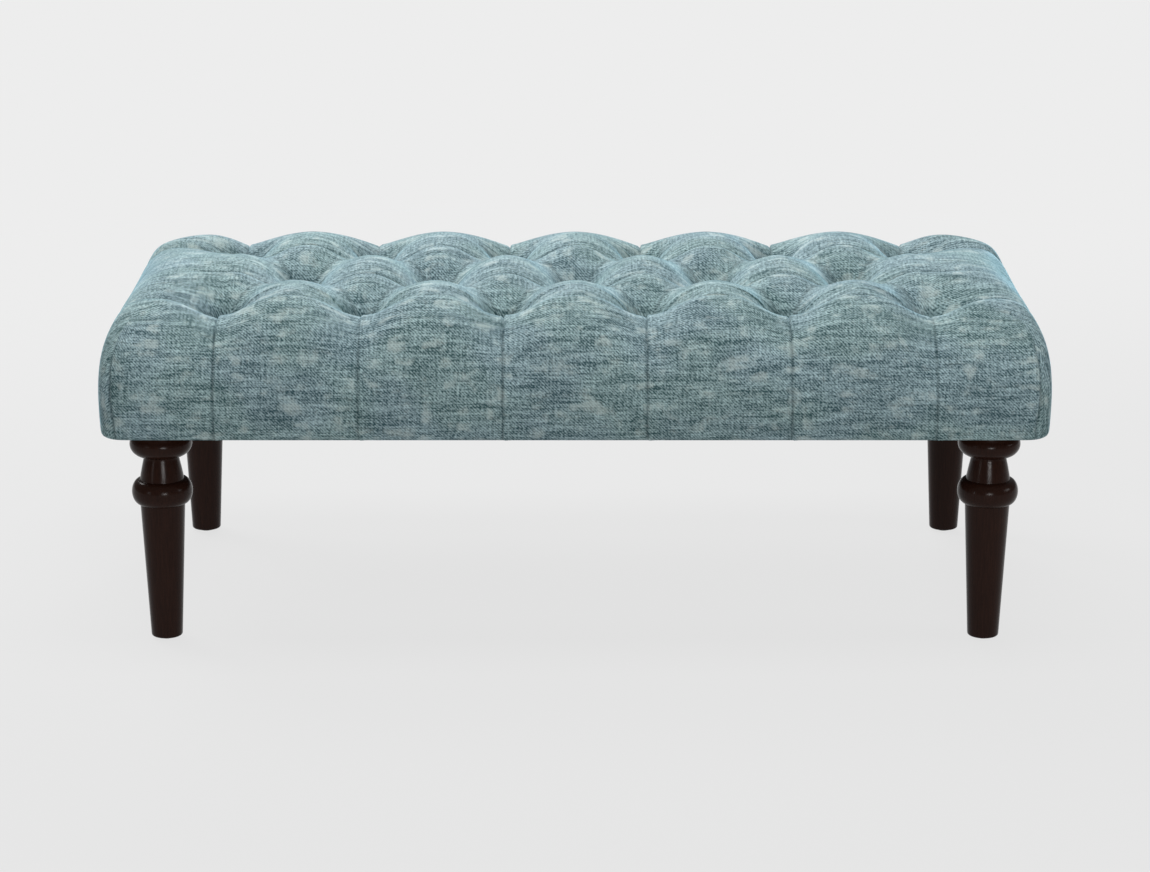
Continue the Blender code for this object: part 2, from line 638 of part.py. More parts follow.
def build_buttons(stool, fabric, cord):
    mesh_data = button_mesh()
    turns = {}
    for bay, tufts in lacing_bays().items():
        for tuft, along in zip(tufts, lacing_directions(tufts)):
            turns[tuft.freeze()] = math.atan2(along.y, along.x)
        name = bay + "_tufting_twine"
        add_object(name, twine_curve(name, twine_route(tufts)), stool, cord)
    for row_index, row in enumerate(TUFT_ROWS):
        for index, tuft in enumerate(row):
            place = (tuft.x, tuft.y, BUTTON_Z)
            name = "button_row_%d_%d" % (row_index + 1, index + 1)
            add_object(name, mesh_data, stool, fabric, place, turns[tuft.freeze()])


def main():
    clear_scene()
    stool = bpy.data.objects.new("footstool", None)
    bpy.context.scene.collection.objects.link(stool)
    finishes = {
        "fabric": finish("slate_blue_fabric", (0.165, 0.245, 0.275), 0.85),
        "wadding": finish("polyester_wadding", (0.80, 0.80, 0.78), 0.95),
        "foam": finish("upholstery_foam", (0.80, 0.74, 0.55), 0.95),
        "timber": finish("beech", (0.52, 0.36, 0.21), 0.6),
        "plywood": finish("birch_plywood", (0.62, 0.48, 0.31), 0.6),
        "lacquer": finish("espresso_lacquer", (0.018, 0.010, 0.008), 0.3),
        "steel": finish("zinc_plated_steel", (0.62, 0.62, 0.60), 0.35, 1.0),
        "nylon": finish("black_nylon", (0.03, 0.03, 0.03), 0.5),
        "dust": finish("black_dust_cloth", (0.015, 0.015, 0.016), 0.95),
        "cord": finish("waxed_twine", (0.62, 0.55, 0.42), 0.8),
    }
    build_upholstery(stool, finishes["fabric"], finishes["wadding"], finishes["foam"])
    build_frame(stool, finishes["timber"], finishes["plywood"], finishes["dust"])
    for face, sign_y in FACES.items():
        for side, sign_x in SIDES.items():
            build_corner(stool, face + "_" + side, sign_x, sign_y, finishes)
    build_buttons(stool, finishes["fabric"], finishes["cord"])


main()
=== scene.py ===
"""Looks of the buttoned footstool: cloth, padding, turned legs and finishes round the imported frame.

Metres, +Z up, the stool's front towards -Y. Sizes that the frame has are read from it.
"""
import math

import bmesh
import bpy
import numpy as np
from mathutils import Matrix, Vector


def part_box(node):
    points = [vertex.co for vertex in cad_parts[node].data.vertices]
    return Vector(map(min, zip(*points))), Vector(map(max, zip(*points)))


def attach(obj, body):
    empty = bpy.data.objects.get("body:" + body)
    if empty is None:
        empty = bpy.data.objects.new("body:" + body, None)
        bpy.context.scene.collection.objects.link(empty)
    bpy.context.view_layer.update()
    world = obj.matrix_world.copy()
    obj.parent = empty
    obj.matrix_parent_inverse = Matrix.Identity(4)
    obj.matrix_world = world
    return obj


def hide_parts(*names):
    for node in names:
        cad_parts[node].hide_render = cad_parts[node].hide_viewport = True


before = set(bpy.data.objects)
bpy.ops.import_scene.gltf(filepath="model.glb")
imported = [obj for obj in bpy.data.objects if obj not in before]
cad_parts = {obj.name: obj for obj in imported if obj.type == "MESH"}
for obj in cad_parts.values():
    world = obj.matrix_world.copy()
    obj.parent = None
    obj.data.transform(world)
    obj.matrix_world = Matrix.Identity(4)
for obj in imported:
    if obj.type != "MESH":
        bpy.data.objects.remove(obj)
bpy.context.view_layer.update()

# Body and tufts, from the frame; the smooth crests are kept lower, as room for the swelling
SWELL_ROOM = 0.0015
cover_low, cover_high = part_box("cover")
HALF_LENGTH = cover_high.x
HALF_DEPTH = cover_high.y
UNDERSIDE_Z = cover_low.z
CREST_Z = cover_high.z - SWELL_ROOM
DECK_TOP_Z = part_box("deck_board")[1].z
BUTTONS = sorted(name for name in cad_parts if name.startswith("button_row_"))
TUFTS = np.array([[sum(pair) / 2 for pair in zip(*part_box(name))][:2] for name in BUTTONS])
ROW_Y = TUFTS[:, 1].max()
FRONT_X = np.sort(TUFTS[TUFTS[:, 1] < -ROW_Y / 2][:, 0])
TUFT_STEP = FRONT_X[1] - FRONT_X[0]
END_X = FRONT_X[-1]
CORNERS = [face + "_" + side for face in ("front", "back") for side in ("left", "right")]

# Section of the cloth over an edge: shoulder from the outer tufts, side, small round at the foot, hem
SHOULDER_DROP = 0.127
END_FULLNESS = 3.4
FRONT_FULLNESS = 2.0
FOOT_DRAW_IN = 0.001
FOOT_RADIUS = 0.006
HEM_WIDTH = 0.020
CORNER_RADIUS = 0.036
CORNER_SPREAD = 0.6
HEM_CORNER_RADIUS = 0.010
CLOTH_THICKNESS = 0.002
TURN_POINTS = 300
SIDE_POINTS = 30
HEM_POINTS = 20
DROP_HALVINGS = 34
SLOPE_STEP = 0.0005

# Domes between the tufts, the pits of the tufts, and the pleats that run out from the outer ones
DOME_DEPTH = 0.045
MIDDLE_DEPTH = 0.018
PIT_DEPTH = 0.030
PIT_REACH = 0.009
SEAT_RADIUS = 0.0115
FOLD_ROUND = 0.025
PLEAT_ROUND = 0.07
PLEAT_REACH = 0.0745
PLEAT_FADE = 1.6
PLEAT_NARROW = 0.3
NARROW_START = 0.03
NARROW_RUN = 0.11
WAVE_START = 0.03
CORNER_HALF = 0.072
PAST_TUFTS = 0.010

# Folds across the domes: a crease ahead of each row of tufts, a roll of cloth along it, and the bulge below;
# reaches and fades are shares of half a dome, and the front row, -1, has its own
FOLDS_AHEAD = {-1: 0.046, 0: 0.060, 1: 0.054}
FOLD_BOW = 0.010
FOLD_REACH = 0.72
FRONT_FOLD_REACH = 0.95
FOLD_FADE = 0.7
BULGE_HEIGHT = 0.008
BULGE_AHEAD = 0.035
BULGE_WIDTH = 0.022
ROLL_HEIGHT = 0.0025
ROLL_WIDTH = 0.010
FRONT_ROLL_HEIGHT = 0.006
FRONT_ROLL_WIDTH = 0.016
DIP_DEPTH = 0.002
DIP_BEHIND = 0.020
DIP_AHEAD = 0.005
CREASE_DEPTH = 0.0018
CREASE_WIDTH = 0.0032
CREASE_BEHIND = 0.002
# How strongly the folds' creases are painted darker, as painted shade; less in the front row
CREASE_PAINTED_SHADE = 0.9
FRONT_CREASE_PAINTED_SHADE = 0.3

# Bellies of the front between its pleats
BELLY_HEIGHT = 0.012
BELLY_REACH = 0.115
BELLY_WIDTH = 0.035

# Sharp lines on the finished cloth: the pleats, with one side lapped over, and the tucks at the corners
LINE_DEPTH = 0.0024
LINE_WIDTH = 0.0010
LINE_START = 0.02
LINE_FADE = 0.02
LINE_BESIDE = 0.04
FIELD_FADE = 0.02
LAP_RISE = 0.0018
LAP_SINK = 0.3
LAP_OVER = 0.012
LAP_UNDER = 0.010
LAP_REACH = 0.06
TUCK_DEPTH = 0.0026
TUCK_WIDTH = 0.0016
TUCK_TOP_Z = 0.41
TUCK_FADE = 0.03
NO_TUCK = 0.2
ON_HEM = 0.001
TUCK_ANGLES = (math.radians(45), math.radians(25))

# Mesh of the cloth: cells between its guide lines, closer together at each of them
EASE = 0.8
STEP_CELLS = 9
END_CELLS = 14
BORDER_CELLS = 14
AHEAD_CELLS = 10
BEHIND_CELLS = 16
SHOULDER_RINGS = 15
FOOT_RINGS = 2
HEM_RINGS = 2
FIELD_DROP = 0.026

# Swelling of the padded cloth, and how firmly and how widely it is held
SWELL_FRAMES = 20
SWELL_PRESSURE = 4.0
SWELL_CAP = 0.006
TUFT_HOLD = 1.6
TUFT_HOLD_FADE = 0.025
FOOT_HOLD = 0.010
FOOT_HOLD_FADE = 0.006
FOLD_HOLD = 0.8
FOLD_HOLD_WIDTH = 0.006
END_HOLD_WIDTH = 0.008
END_HOLD_FADE = 0.02

# Layers under the cloth, as depths below its outside, and the holes for the twine
WADDING_START = 0.0082
WADDING_THICKNESS = 0.0030
FOAM_START = 0.0120
FOAM_ABOVE_DECK = 0.0003
FOAM_EDGE = 0.012
COVER_HOLE = 0.0015
PAD_HOLE = 0.006
MERGE_DISTANCE = 0.0002
WELD_DISTANCE = 0.00001

# Turned legs, as in the frame: radii and heights from the bun down, and holes as radius and depth
LEG_SIDES = 72
LEG_SHARP = 35
LEG_TOP_RADIUS = 0.0359
BUN_HEIGHT = 0.0331
BUN_BULGE = 0.0181
NECK_RADIUS = 0.0222
NECK_HEIGHT = 0.0309
NECK_STEP = 0.0008
NECK_FLARE = 0.0063
NECK_BULGE = 0.0003
BEAD_HEIGHT = 0.0327
BEAD_INNER = 0.0287
BEAD_BULGE = 0.01055
TAPER_RADIUS = 0.0289
TAPER_NARROWING = 0.0085
FOOT_ROUND = 0.003
BOLT_HOLE = (0.0039, 0.0323)
NAIL_HOLE = (0.0013, 0.0133)

# Glides under the legs
GLIDE_SIDES = 40
GLIDE_THICKNESS = 0.003
GLIDE_EDGE_RADIUS = 0.0098
GLIDE_EDGE_ROUND = 0.0012
GLIDE_FACE_RADIUS = 0.0070
GLIDE_FACE_RISE = 0.0002
NAIL_RADIUS = 0.001

# Covered buttons
BUTTON_SIDES = 24
BUTTON_SHARP = 50
BUTTON_RADIUS = 0.010
BUTTON_HEIGHT = 0.0065
BUTTON_DOME = 0.00455
BUTTON_BACK_RADIUS = 0.0094

# Dust cloth: holes for the bolts, and its slack between the rails, with a slight ripple
BOLT_CLEARANCE = 0.0058
DUST_CORNER = 0.034
DUST_THICKNESS = 0.0006
DUST_LIFT = 0.0005
DUST_SLACK = 0.004
DUST_SLACK_HALF = (0.47, 0.20)
DUST_GRID_HALF = (0.5, 0.21)
DUST_GRID_LINES = (41, 21)
DUST_RIPPLE = 0.25
DUST_RIPPLE_RATES = (17, 11)


def srgb(code):
    """Linear colour from an sRGB hex code."""
    values = [int(code[k:k + 2], 16) / 255 for k in (1, 3, 5)]
    return tuple(v / 12.92 if v <= 0.04045 else ((v + 0.055) / 1.055) ** 2.4 for v in values) + (1.0,)


def node(tree, kind, inputs=None, **settings):
    """Add a node with its settings; inputs are values, or outputs to link from."""
    made = tree.nodes.new("ShaderNode" + kind)
    for name, value in settings.items():
        setattr(made, name, value)
    for name, value in (inputs or {}).items():
        if isinstance(value, bpy.types.NodeSocket):
            tree.links.new(value, made.inputs[name])
        else:
            made.inputs[name].default_value = value
    return made.outputs


def new_material(name):
    """An empty material, with its node tree and its shader."""
    material = bpy.data.materials.new(name)
    material.use_nodes = True
    tree = material.node_tree
    return material, tree, tree.nodes["Principled BSDF"]


def put_on(piece, material):
    """Give a piece one finish."""
    piece.data.materials.clear()
    piece.data.materials.append(material)


def slub_linen():
    """Washed slub linen in slate teal: a diagonal twill of uneven yarns, slubs and pale worn patches."""
    material, tree, shader = new_material("slub_linen")
    sheet = node(tree, "UVMap", uv_map="sheet")["UV"]
    slanted = node(tree, "Mapping", {"Vector": sheet, "Rotation": (0, 0, math.radians(45))})["Vector"]

    def streaks(spot, length_mm, width_mm, detail):
        """Noise that is drawn out along the sheet; the sheet's units are metres."""
        size = (1000 / length_mm, 1000 / width_mm, 1)
        place = node(tree, "Mapping", {"Vector": spot, "Scale": size})["Vector"]
        return node(tree, "TexNoise", {"Vector": place, "Scale": 1.0, "Detail": detail, "Roughness": 0.6},
                    noise_dimensions='2D')["Fac"]

    # Ribs of the twill, drawn every 3.0 mm so that they show, and the short uneven yarns between them, also
    # coarser than real ones; the node's own waves lie tau / 20 apart
    rib = node(tree, "TexWave", {"Vector": slanted, "Scale": math.tau / (20 * 0.0030), "Distortion": 2.4,
                                 "Detail": 1.0, "Detail Scale": 1.0}, bands_direction='Y')["Fac"]
    yarn = streaks(slanted, 4.6, 1.8, 1.0)
    speck = streaks(sheet, 3.2, 2.2, 0.0)
    # Slubs: thick places in the yarns, a few centimetres long, mostly in the weft, drawn 2.3 to 2.6 mm wide
    weft = streaks(sheet, 44, 2.3, 2.0)
    warp = streaks(sheet, 2.6, 34, 2.0)
    # Bands of heavier weft 9 mm deep, worn patches two to four centimetres across, and drifts of the dye
    band = streaks(sheet, 70, 9, 2.0)
    worn_weft = streaks(sheet, 44, 16, 2.0)
    worn_warp = streaks(sheet, 26, 44, 2.0)
    drift = streaks(sheet, 130, 100, 1.0)
    tone = 0.37
    patterns = {rib: 0.36, yarn: 0.9, speck: 0.65, weft: 0.9, warp: 0.65, band: 0.8}
    for pattern, weight in patterns.items():
        level = node(tree, "Math", {0: pattern, 1: 0.5}, operation='SUBTRACT')["Value"]
        tone = node(tree, "Math", {0: level, 1: weight, 2: tone}, operation='MULTIPLY_ADD')["Value"]
    across = node(tree, "MapRange", {"Value": worn_weft, "From Min": 0.47, "From Max": 0.65})["Result"]
    along = node(tree, "MapRange", {"Value": worn_warp, "From Min": 0.46, "From Max": 0.63})["Result"]
    worn = node(tree, "Math", {0: across, 1: along}, operation='MULTIPLY')["Value"]
    tone = node(tree, "Math", {0: worn, 1: 0.34, 2: tone}, operation='MULTIPLY_ADD')["Value"]
    blue = node(tree, "MapRange", {"Value": drift, "From Min": 0.40, "From Max": 0.60})["Result"]
    dark = node(tree, "Mix", {0: blue, 6: srgb("#385457"), 7: srgb("#39535A")}, data_type='RGBA')[2]
    pale = node(tree, "Mix", {0: blue, 6: srgb("#B2CCCE"), 7: srgb("#B2CBD1")}, data_type='RGBA')[2]
    dyed = node(tree, "Mix", {0: tone, 6: dark, 7: pale}, data_type='RGBA')[2]
    fading = node(tree, "Math", {0: worn, 1: 0.38}, operation='MULTIPLY')["Value"]
    faded = node(tree, "Mix", {0: fading, 6: dyed, 7: srgb("#AAB2AC")}, data_type='RGBA')[2]
    # Painted shade: the creases are coloured darker, standing in for the shade that falls in the folds.
    # Those from tuft to tuft are drawn as painted lines 5 mm wide
    shaded_crease = node(tree, "Attribute", attribute_name="shaded_crease")["Fac"]
    field = node(tree, "Attribute", attribute_name="field")["Fac"]
    for slant in (1, -1):
        step = (1 / TUFT_STEP, slant / (2 * ROW_Y), 0)
        run = node(tree, "VectorMath", {0: sheet, 1: step}, operation='DOT_PRODUCT')["Value"]
        near = node(tree, "Math", {0: run, 1: 0.5}, operation='PINGPONG')["Value"]
        line = node(tree, "MapRange", {"Value": near, "From Max": 0.005 * math.hypot(*step), "To Min": 0.8,
                                       "To Max": 0.0}, interpolation_type='SMOOTHSTEP')["Result"]
        line = node(tree, "Math", {0: line, 1: field}, operation='MULTIPLY')["Value"]
        shaded_crease = node(tree, "Math", {0: shaded_crease, 1: line}, operation='MAXIMUM')["Value"]
    # Painted shade: the crease mask darkens the linen by up to 45 % towards a dark teal
    painted_crease_shade = node(tree, "Math", {0: shaded_crease, 1: 0.45}, operation='MULTIPLY')["Value"]
    colour = node(tree, "Mix", {0: painted_crease_shade, 6: faded, 7: srgb("#26393C")}, data_type='RGBA')[2]
    bump = node(tree, "Bump", {"Strength": 0.1, "Distance": 0.0006, "Height": tone})["Normal"]
    tree.links.new(colour, shader.inputs["Base Color"])
    tree.links.new(bump, shader.inputs["Normal"])
    shader.inputs["Roughness"].default_value = 0.9
    shader.inputs["Specular IOR Level"].default_value = 0.2
    shader.inputs["Sheen Weight"].default_value = 0.6
    shader.inputs["Sheen Roughness"].default_value = 0.22
    shader.inputs["Sheen Tint"].default_value = srgb("#A8DCF0")
    return material


def grained(name, dark, light, roughness, grain_mm, length_mm, gloss, relief):
    """Timber: long grain lines along one axis, with pores that catch the light."""
    material, tree, shader = new_material(name)
    place = node(tree, "TexCoord")["Object"]
    size = [1000 / length for length in length_mm]
    spot = node(tree, "Mapping", {"Vector": place, "Scale": size})["Vector"]
    grain = node(tree, "TexNoise", {"Vector": spot, "Scale": 1.0, "Detail": 4.0, "Roughness": 0.65})["Fac"]
    longest = max(length_mm)
    fine = [1000 / (3 * longest) if length == longest else 1000 / grain_mm for length in length_mm]
    pore_spot = node(tree, "Mapping", {"Vector": place, "Scale": fine})["Vector"]
    pore = node(tree, "TexNoise", {"Vector": pore_spot, "Scale": 1.0, "Detail": 2.0})["Fac"]
    level = node(tree, "MapRange", {"Value": grain, "From Min": 0.3, "From Max": 0.7})["Result"]
    colour = node(tree, "Mix", {0: level, 6: srgb(dark), 7: srgb(light)}, data_type='RGBA')[2]
    rough = node(tree, "MapRange", {"Value": pore, "From Min": 0.3, "From Max": 0.7,
                                    "To Min": roughness - 0.06, "To Max": roughness + 0.08})["Result"]
    bump = node(tree, "Bump", {"Strength": relief, "Distance": 0.0003, "Height": pore})["Normal"]
    tree.links.new(colour, shader.inputs["Base Color"])
    tree.links.new(rough, shader.inputs["Roughness"])
    tree.links.new(bump, shader.inputs["Normal"])
    shader.inputs["Specular IOR Level"].default_value = gloss
    return material


def speckled(name, dark, light, roughness, speck_mm, relief, metallic=0.0):
    """A finish with a fine even mottle: fibres, cells, moulded or plated grain."""
    material, tree, shader = new_material(name)
    place = node(tree, "TexCoord")["Object"]
    mottle = node(tree, "TexNoise", {"Vector": place, "Scale": 1000 / speck_mm, "Detail": 3.0})["Fac"]
    level = node(tree, "MapRange", {"Value": mottle, "From Min": 0.3, "From Max": 0.7})["Result"]
    colour = node(tree, "Mix", {0: level, 6: srgb(dark), 7: srgb(light)}, data_type='RGBA')[2]
    bump = node(tree, "Bump", {"Strength": relief, "Distance": speck_mm / 4000, "Height": mottle})["Normal"]
    tree.links.new(colour, shader.inputs["Base Color"])
    tree.links.new(bump, shader.inputs["Normal"])
    shader.inputs["Roughness"].default_value = roughness
    shader.inputs["Metallic"].default_value = metallic
    return material


def shoulder_inset(width, fullness, drop):
    """Inset from the side where a shoulder lies so far under the crest."""
    level = np.clip(1 - drop / SHOULDER_DROP, 0, 1)
    return width * (1 - (1 - level ** fullness) ** (1 / fullness))


class Section:
    """The cloth's section over an edge, from the crest to the hem; all sections share their heights."""

    turn = np.linspace(0, math.pi / 2, TURN_POINTS)
    foot_z = UNDERSIDE_Z + FOOT_RADIUS
    foot_inset = FOOT_DRAW_IN + FOOT_RADIUS
    z = np.concatenate([CREST_Z - SHOULDER_DROP * (1 - np.cos(turn)),
                        np.linspace(CREST_Z - SHOULDER_DROP, foot_z, SIDE_POINTS)[1:],
                        foot_z - FOOT_RADIUS * np.sin(turn[1:]),
                        np.full(HEM_POINTS, UNDERSIDE_Z)])

    def __init__(self, width, fullness):
        self.width = width
        self.fullness = fullness
        self.inset = np.concatenate([
            shoulder_inset(width, fullness, SHOULDER_DROP * (1 - np.cos(self.turn))),
            np.linspace(0, FOOT_DRAW_IN, SIDE_POINTS)[1:],
            FOOT_DRAW_IN + FOOT_RADIUS * (1 - np.cos(self.turn[1:])),
            np.linspace(self.foot_inset, self.foot_inset + HEM_WIDTH, HEM_POINTS + 1)[1:]])
        steps = np.hypot(np.diff(self.inset), np.diff(self.z))
        self.run = np.concatenate([[0], np.cumsum(steps)])
        out = np.gradient(-self.inset)
        up = np.gradient(self.z)
        length = np.hypot(out, up)
        self.normal = -up / length, out / length
        self.mark = np.arange(len(self.z))

    def reach(self, away):
        """Length run from the outer tufts at a plan distance outwards from them; negative inside them."""
        shoulder = slice(0, len(self.turn))
        outwards = np.interp(away, self.width - self.inset[shoulder], self.run[shoulder])
        return np.where(away < 0, away, outwards)

    def at(self, mark, values):
        """Values of the section at places between its points."""
        return np.interp(mark, self.mark, values)


END = Section(HALF_LENGTH - END_X, END_FULLNESS)
FRONT = Section(HALF_DEPTH - ROW_Y, FRONT_FULLNESS)


def corner_radius(inset_x, inset_y):
    """Plan radius of a corner, which grows as the sides draw in."""
    return CORNER_RADIUS + CORNER_SPREAD * (inset_x + inset_y) / 2


def drop_at(x, y):
    """How far the smooth form under the folds lies below its crest, at plan points on the shoulder."""
    low = np.zeros_like(x)
    high = np.full_like(x, SHOULDER_DROP)
    for _ in range(DROP_HALVINGS):
        drop = (low + high) / 2
        inset_x = shoulder_inset(END.width, END.fullness, drop)
        inset_y = shoulder_inset(FRONT.width, FRONT.fullness, drop)
        radius = corner_radius(inset_x, inset_y)
        over_x = np.abs(x) - (HALF_LENGTH - inset_x - radius)
        over_y = np.abs(y) - (HALF_DEPTH - inset_y - radius)
        away = np.hypot(np.maximum(over_x, 0), np.maximum(over_y, 0))
        away += np.minimum(np.maximum(over_x, over_y), 0)
        outside = away > radius
        low = np.where(outside, drop, low)
        high = np.where(outside, high, drop)
    return (low + high) / 2


def eased_lines(stops, cells):
    """Places of grid lines from stop to stop, closer together at each stop."""
    places = [[stops[0]]]
    for start, end, count in zip(stops[:-1], stops[1:], cells):
        part = np.arange(1, count + 1) / count
        places.append(start + (end - start) * (part - EASE * np.sin(math.tau * part) / math.tau))
    return np.concatenate(places)


def round_field(x, y, field_x, field_y, radius):
    """Plan places of the grid on the top, with its four corners drawn round."""
    across = np.clip((np.abs(x) - (field_x - radius)) / radius, 0, 1)
    along = np.clip((np.abs(y) - (field_y - radius)) / radius, 0, 1)
    new_x = np.abs(x) - radius * across * (1 - np.sqrt(1 - along ** 2 / 2))
    new_y = np.abs(y) - radius * along * (1 - np.sqrt(1 - across ** 2 / 2))
    return np.copysign(new_x, x), np.copysign(new_y, y)


def valley(share, rounding):
    """Section of the fold between two domes: 1 in the fold, 0 at a crest, which is share 1 away from it."""
    return np.clip(1 - np.sqrt(share ** 2 + rounding ** 2) + rounding, 0, 1) ** 2


def pleat(away, reach, half, waved=0):
    """A straight pleat from an outer tuft: away from its line, reach from its row, half the dome beside it.

    Where waved is 1, the cloth leaves the tuft as a smooth wave, with no groove at the line.
    """
    out = np.maximum(reach, 0)
    narrow = 1 + (PLEAT_NARROW - 1) * np.clip((out - NARROW_START) / NARROW_RUN, 0, 1)
    share = away / (half * narrow)
    groove = valley(share, PLEAT_ROUND)
    wave = (1 + np.cos(math.pi * np.clip(share, 0, 1))) / 2
    shape = groove + (wave - groove) * waved * np.clip(out / WAVE_START, 0, 1)
    return np.exp(-(out / PLEAT_REACH) ** PLEAT_FADE) * shape


def long_pleats(along, reach, waved):
    """Pleats of the front or back, at a place along it."""
    nearest = np.abs(along[:, None] - FRONT_X[None, :]).min(1)
    return pleat(nearest, reach, np.where(np.abs(along) > END_X, CORNER_HALF, TUFT_STEP / 2), waved)


def front_pleats(along, reach):
    """Pleats of the front, which leave their tufts as a smooth wave."""
    return long_pleats(along, reach, 1)


def back_pleats(along, reach):
    """Pleats of the back, which leave their tufts as grooves."""
    return long_pleats(along, reach, 0)


def end_pleats(along, reach):
    """Pleats of an end, at a place along it."""
    nearest = np.abs(np.abs(along) - ROW_Y)
    return pleat(nearest, reach, np.where(np.abs(along) > ROW_Y, CORNER_HALF, ROW_Y))


def from_tufts(x, y):
    """Distance from the nearest tuft."""
    return np.hypot(x[:, None] - TUFTS[None, :, 0], y[:, None] - TUFTS[None, :, 1]).min(1)


def top_depth(x, y, reach_x, reach_y):
    """How deep the buttoned top lies under its crests."""
    u = x / TUFT_STEP + y / (2 * ROW_Y)
    v = x / TUFT_STEP - y / (2 * ROW_Y)
    domes = sum(valley(2 * np.abs(run - np.rint(run)), FOLD_ROUND) for run in (u, v)) / 2
    front = long_pleats(x, reach_y, np.where(y < 0, 1, 0))
    end = end_pleats(y, reach_x)
    past_end = np.abs(x) > END_X
    past_row = np.abs(y) > ROW_Y
    both = 1 - (1 - front) * (1 - end)
    depth = DOME_DEPTH * np.select([past_end & past_row, past_end, past_row], [both, end, front], domes)
    # The middle of the field is pulled down wider, to pits that end at the same level
    middle = np.clip(1 - (y / ROW_Y) ** 2, 0, 1) * np.clip((END_X - np.abs(x)) / TUFT_STEP, 0, 1)
    middle *= MIDDLE_DEPTH
    pit = np.exp(-np.maximum(from_tufts(x, y) - SEAT_RADIUS, 0) / PIT_REACH)
    return depth + middle * domes + (PIT_DEPTH - middle) * pit


def hump(offset, width):
    """A smooth bump: 1 at its middle, and width its spread."""
    return np.exp(-(offset / width) ** 2 / 2)


def dome_folds(s, t):
    """Each fold across a dome, at spots on the sheet: its row, how far behind its line, and its strength."""
    half = TUFT_STEP / 2
    for row in FOLDS_AHEAD:
        for middle in (FRONT_X[:-1] + half if row else FRONT_X):
            across = (s - middle) / half
            behind = t - row * ROW_Y + FOLDS_AHEAD[row] + FOLD_BOW * across ** 2
            reach = FRONT_FOLD_REACH if row < 0 else FOLD_REACH
            share = np.clip((reach - np.abs(across)) / (FOLD_FADE * reach), 0, 1)
            yield row, behind, share ** 2 * (3 - 2 * share)


def spare_cloth(s, t):
    """Rise of the rolls of cloth ahead of the folds, the bulges below them, and the front's bellies."""
    rise = np.zeros(len(s))
    for row, behind, share in dome_folds(s, t):
        height = FRONT_ROLL_HEIGHT if row < 0 else ROLL_HEIGHT
        width = FRONT_ROLL_WIDTH if row < 0 else ROLL_WIDTH
        ahead = np.maximum(-behind, 0) / width
        dip = DIP_DEPTH * np.exp(-np.where(behind > 0, behind / DIP_BEHIND, -behind / DIP_AHEAD))
        rise += share * (height * ahead * np.exp(1 - ahead) - dip)
        if row < 0:
            rise += BELLY_HEIGHT * share * hump(t + ROW_Y + BELLY_REACH, BELLY_WIDTH)
        else:
            rise += BULGE_HEIGHT * share * hump(behind + BULGE_AHEAD, BULGE_WIDTH)
    return rise


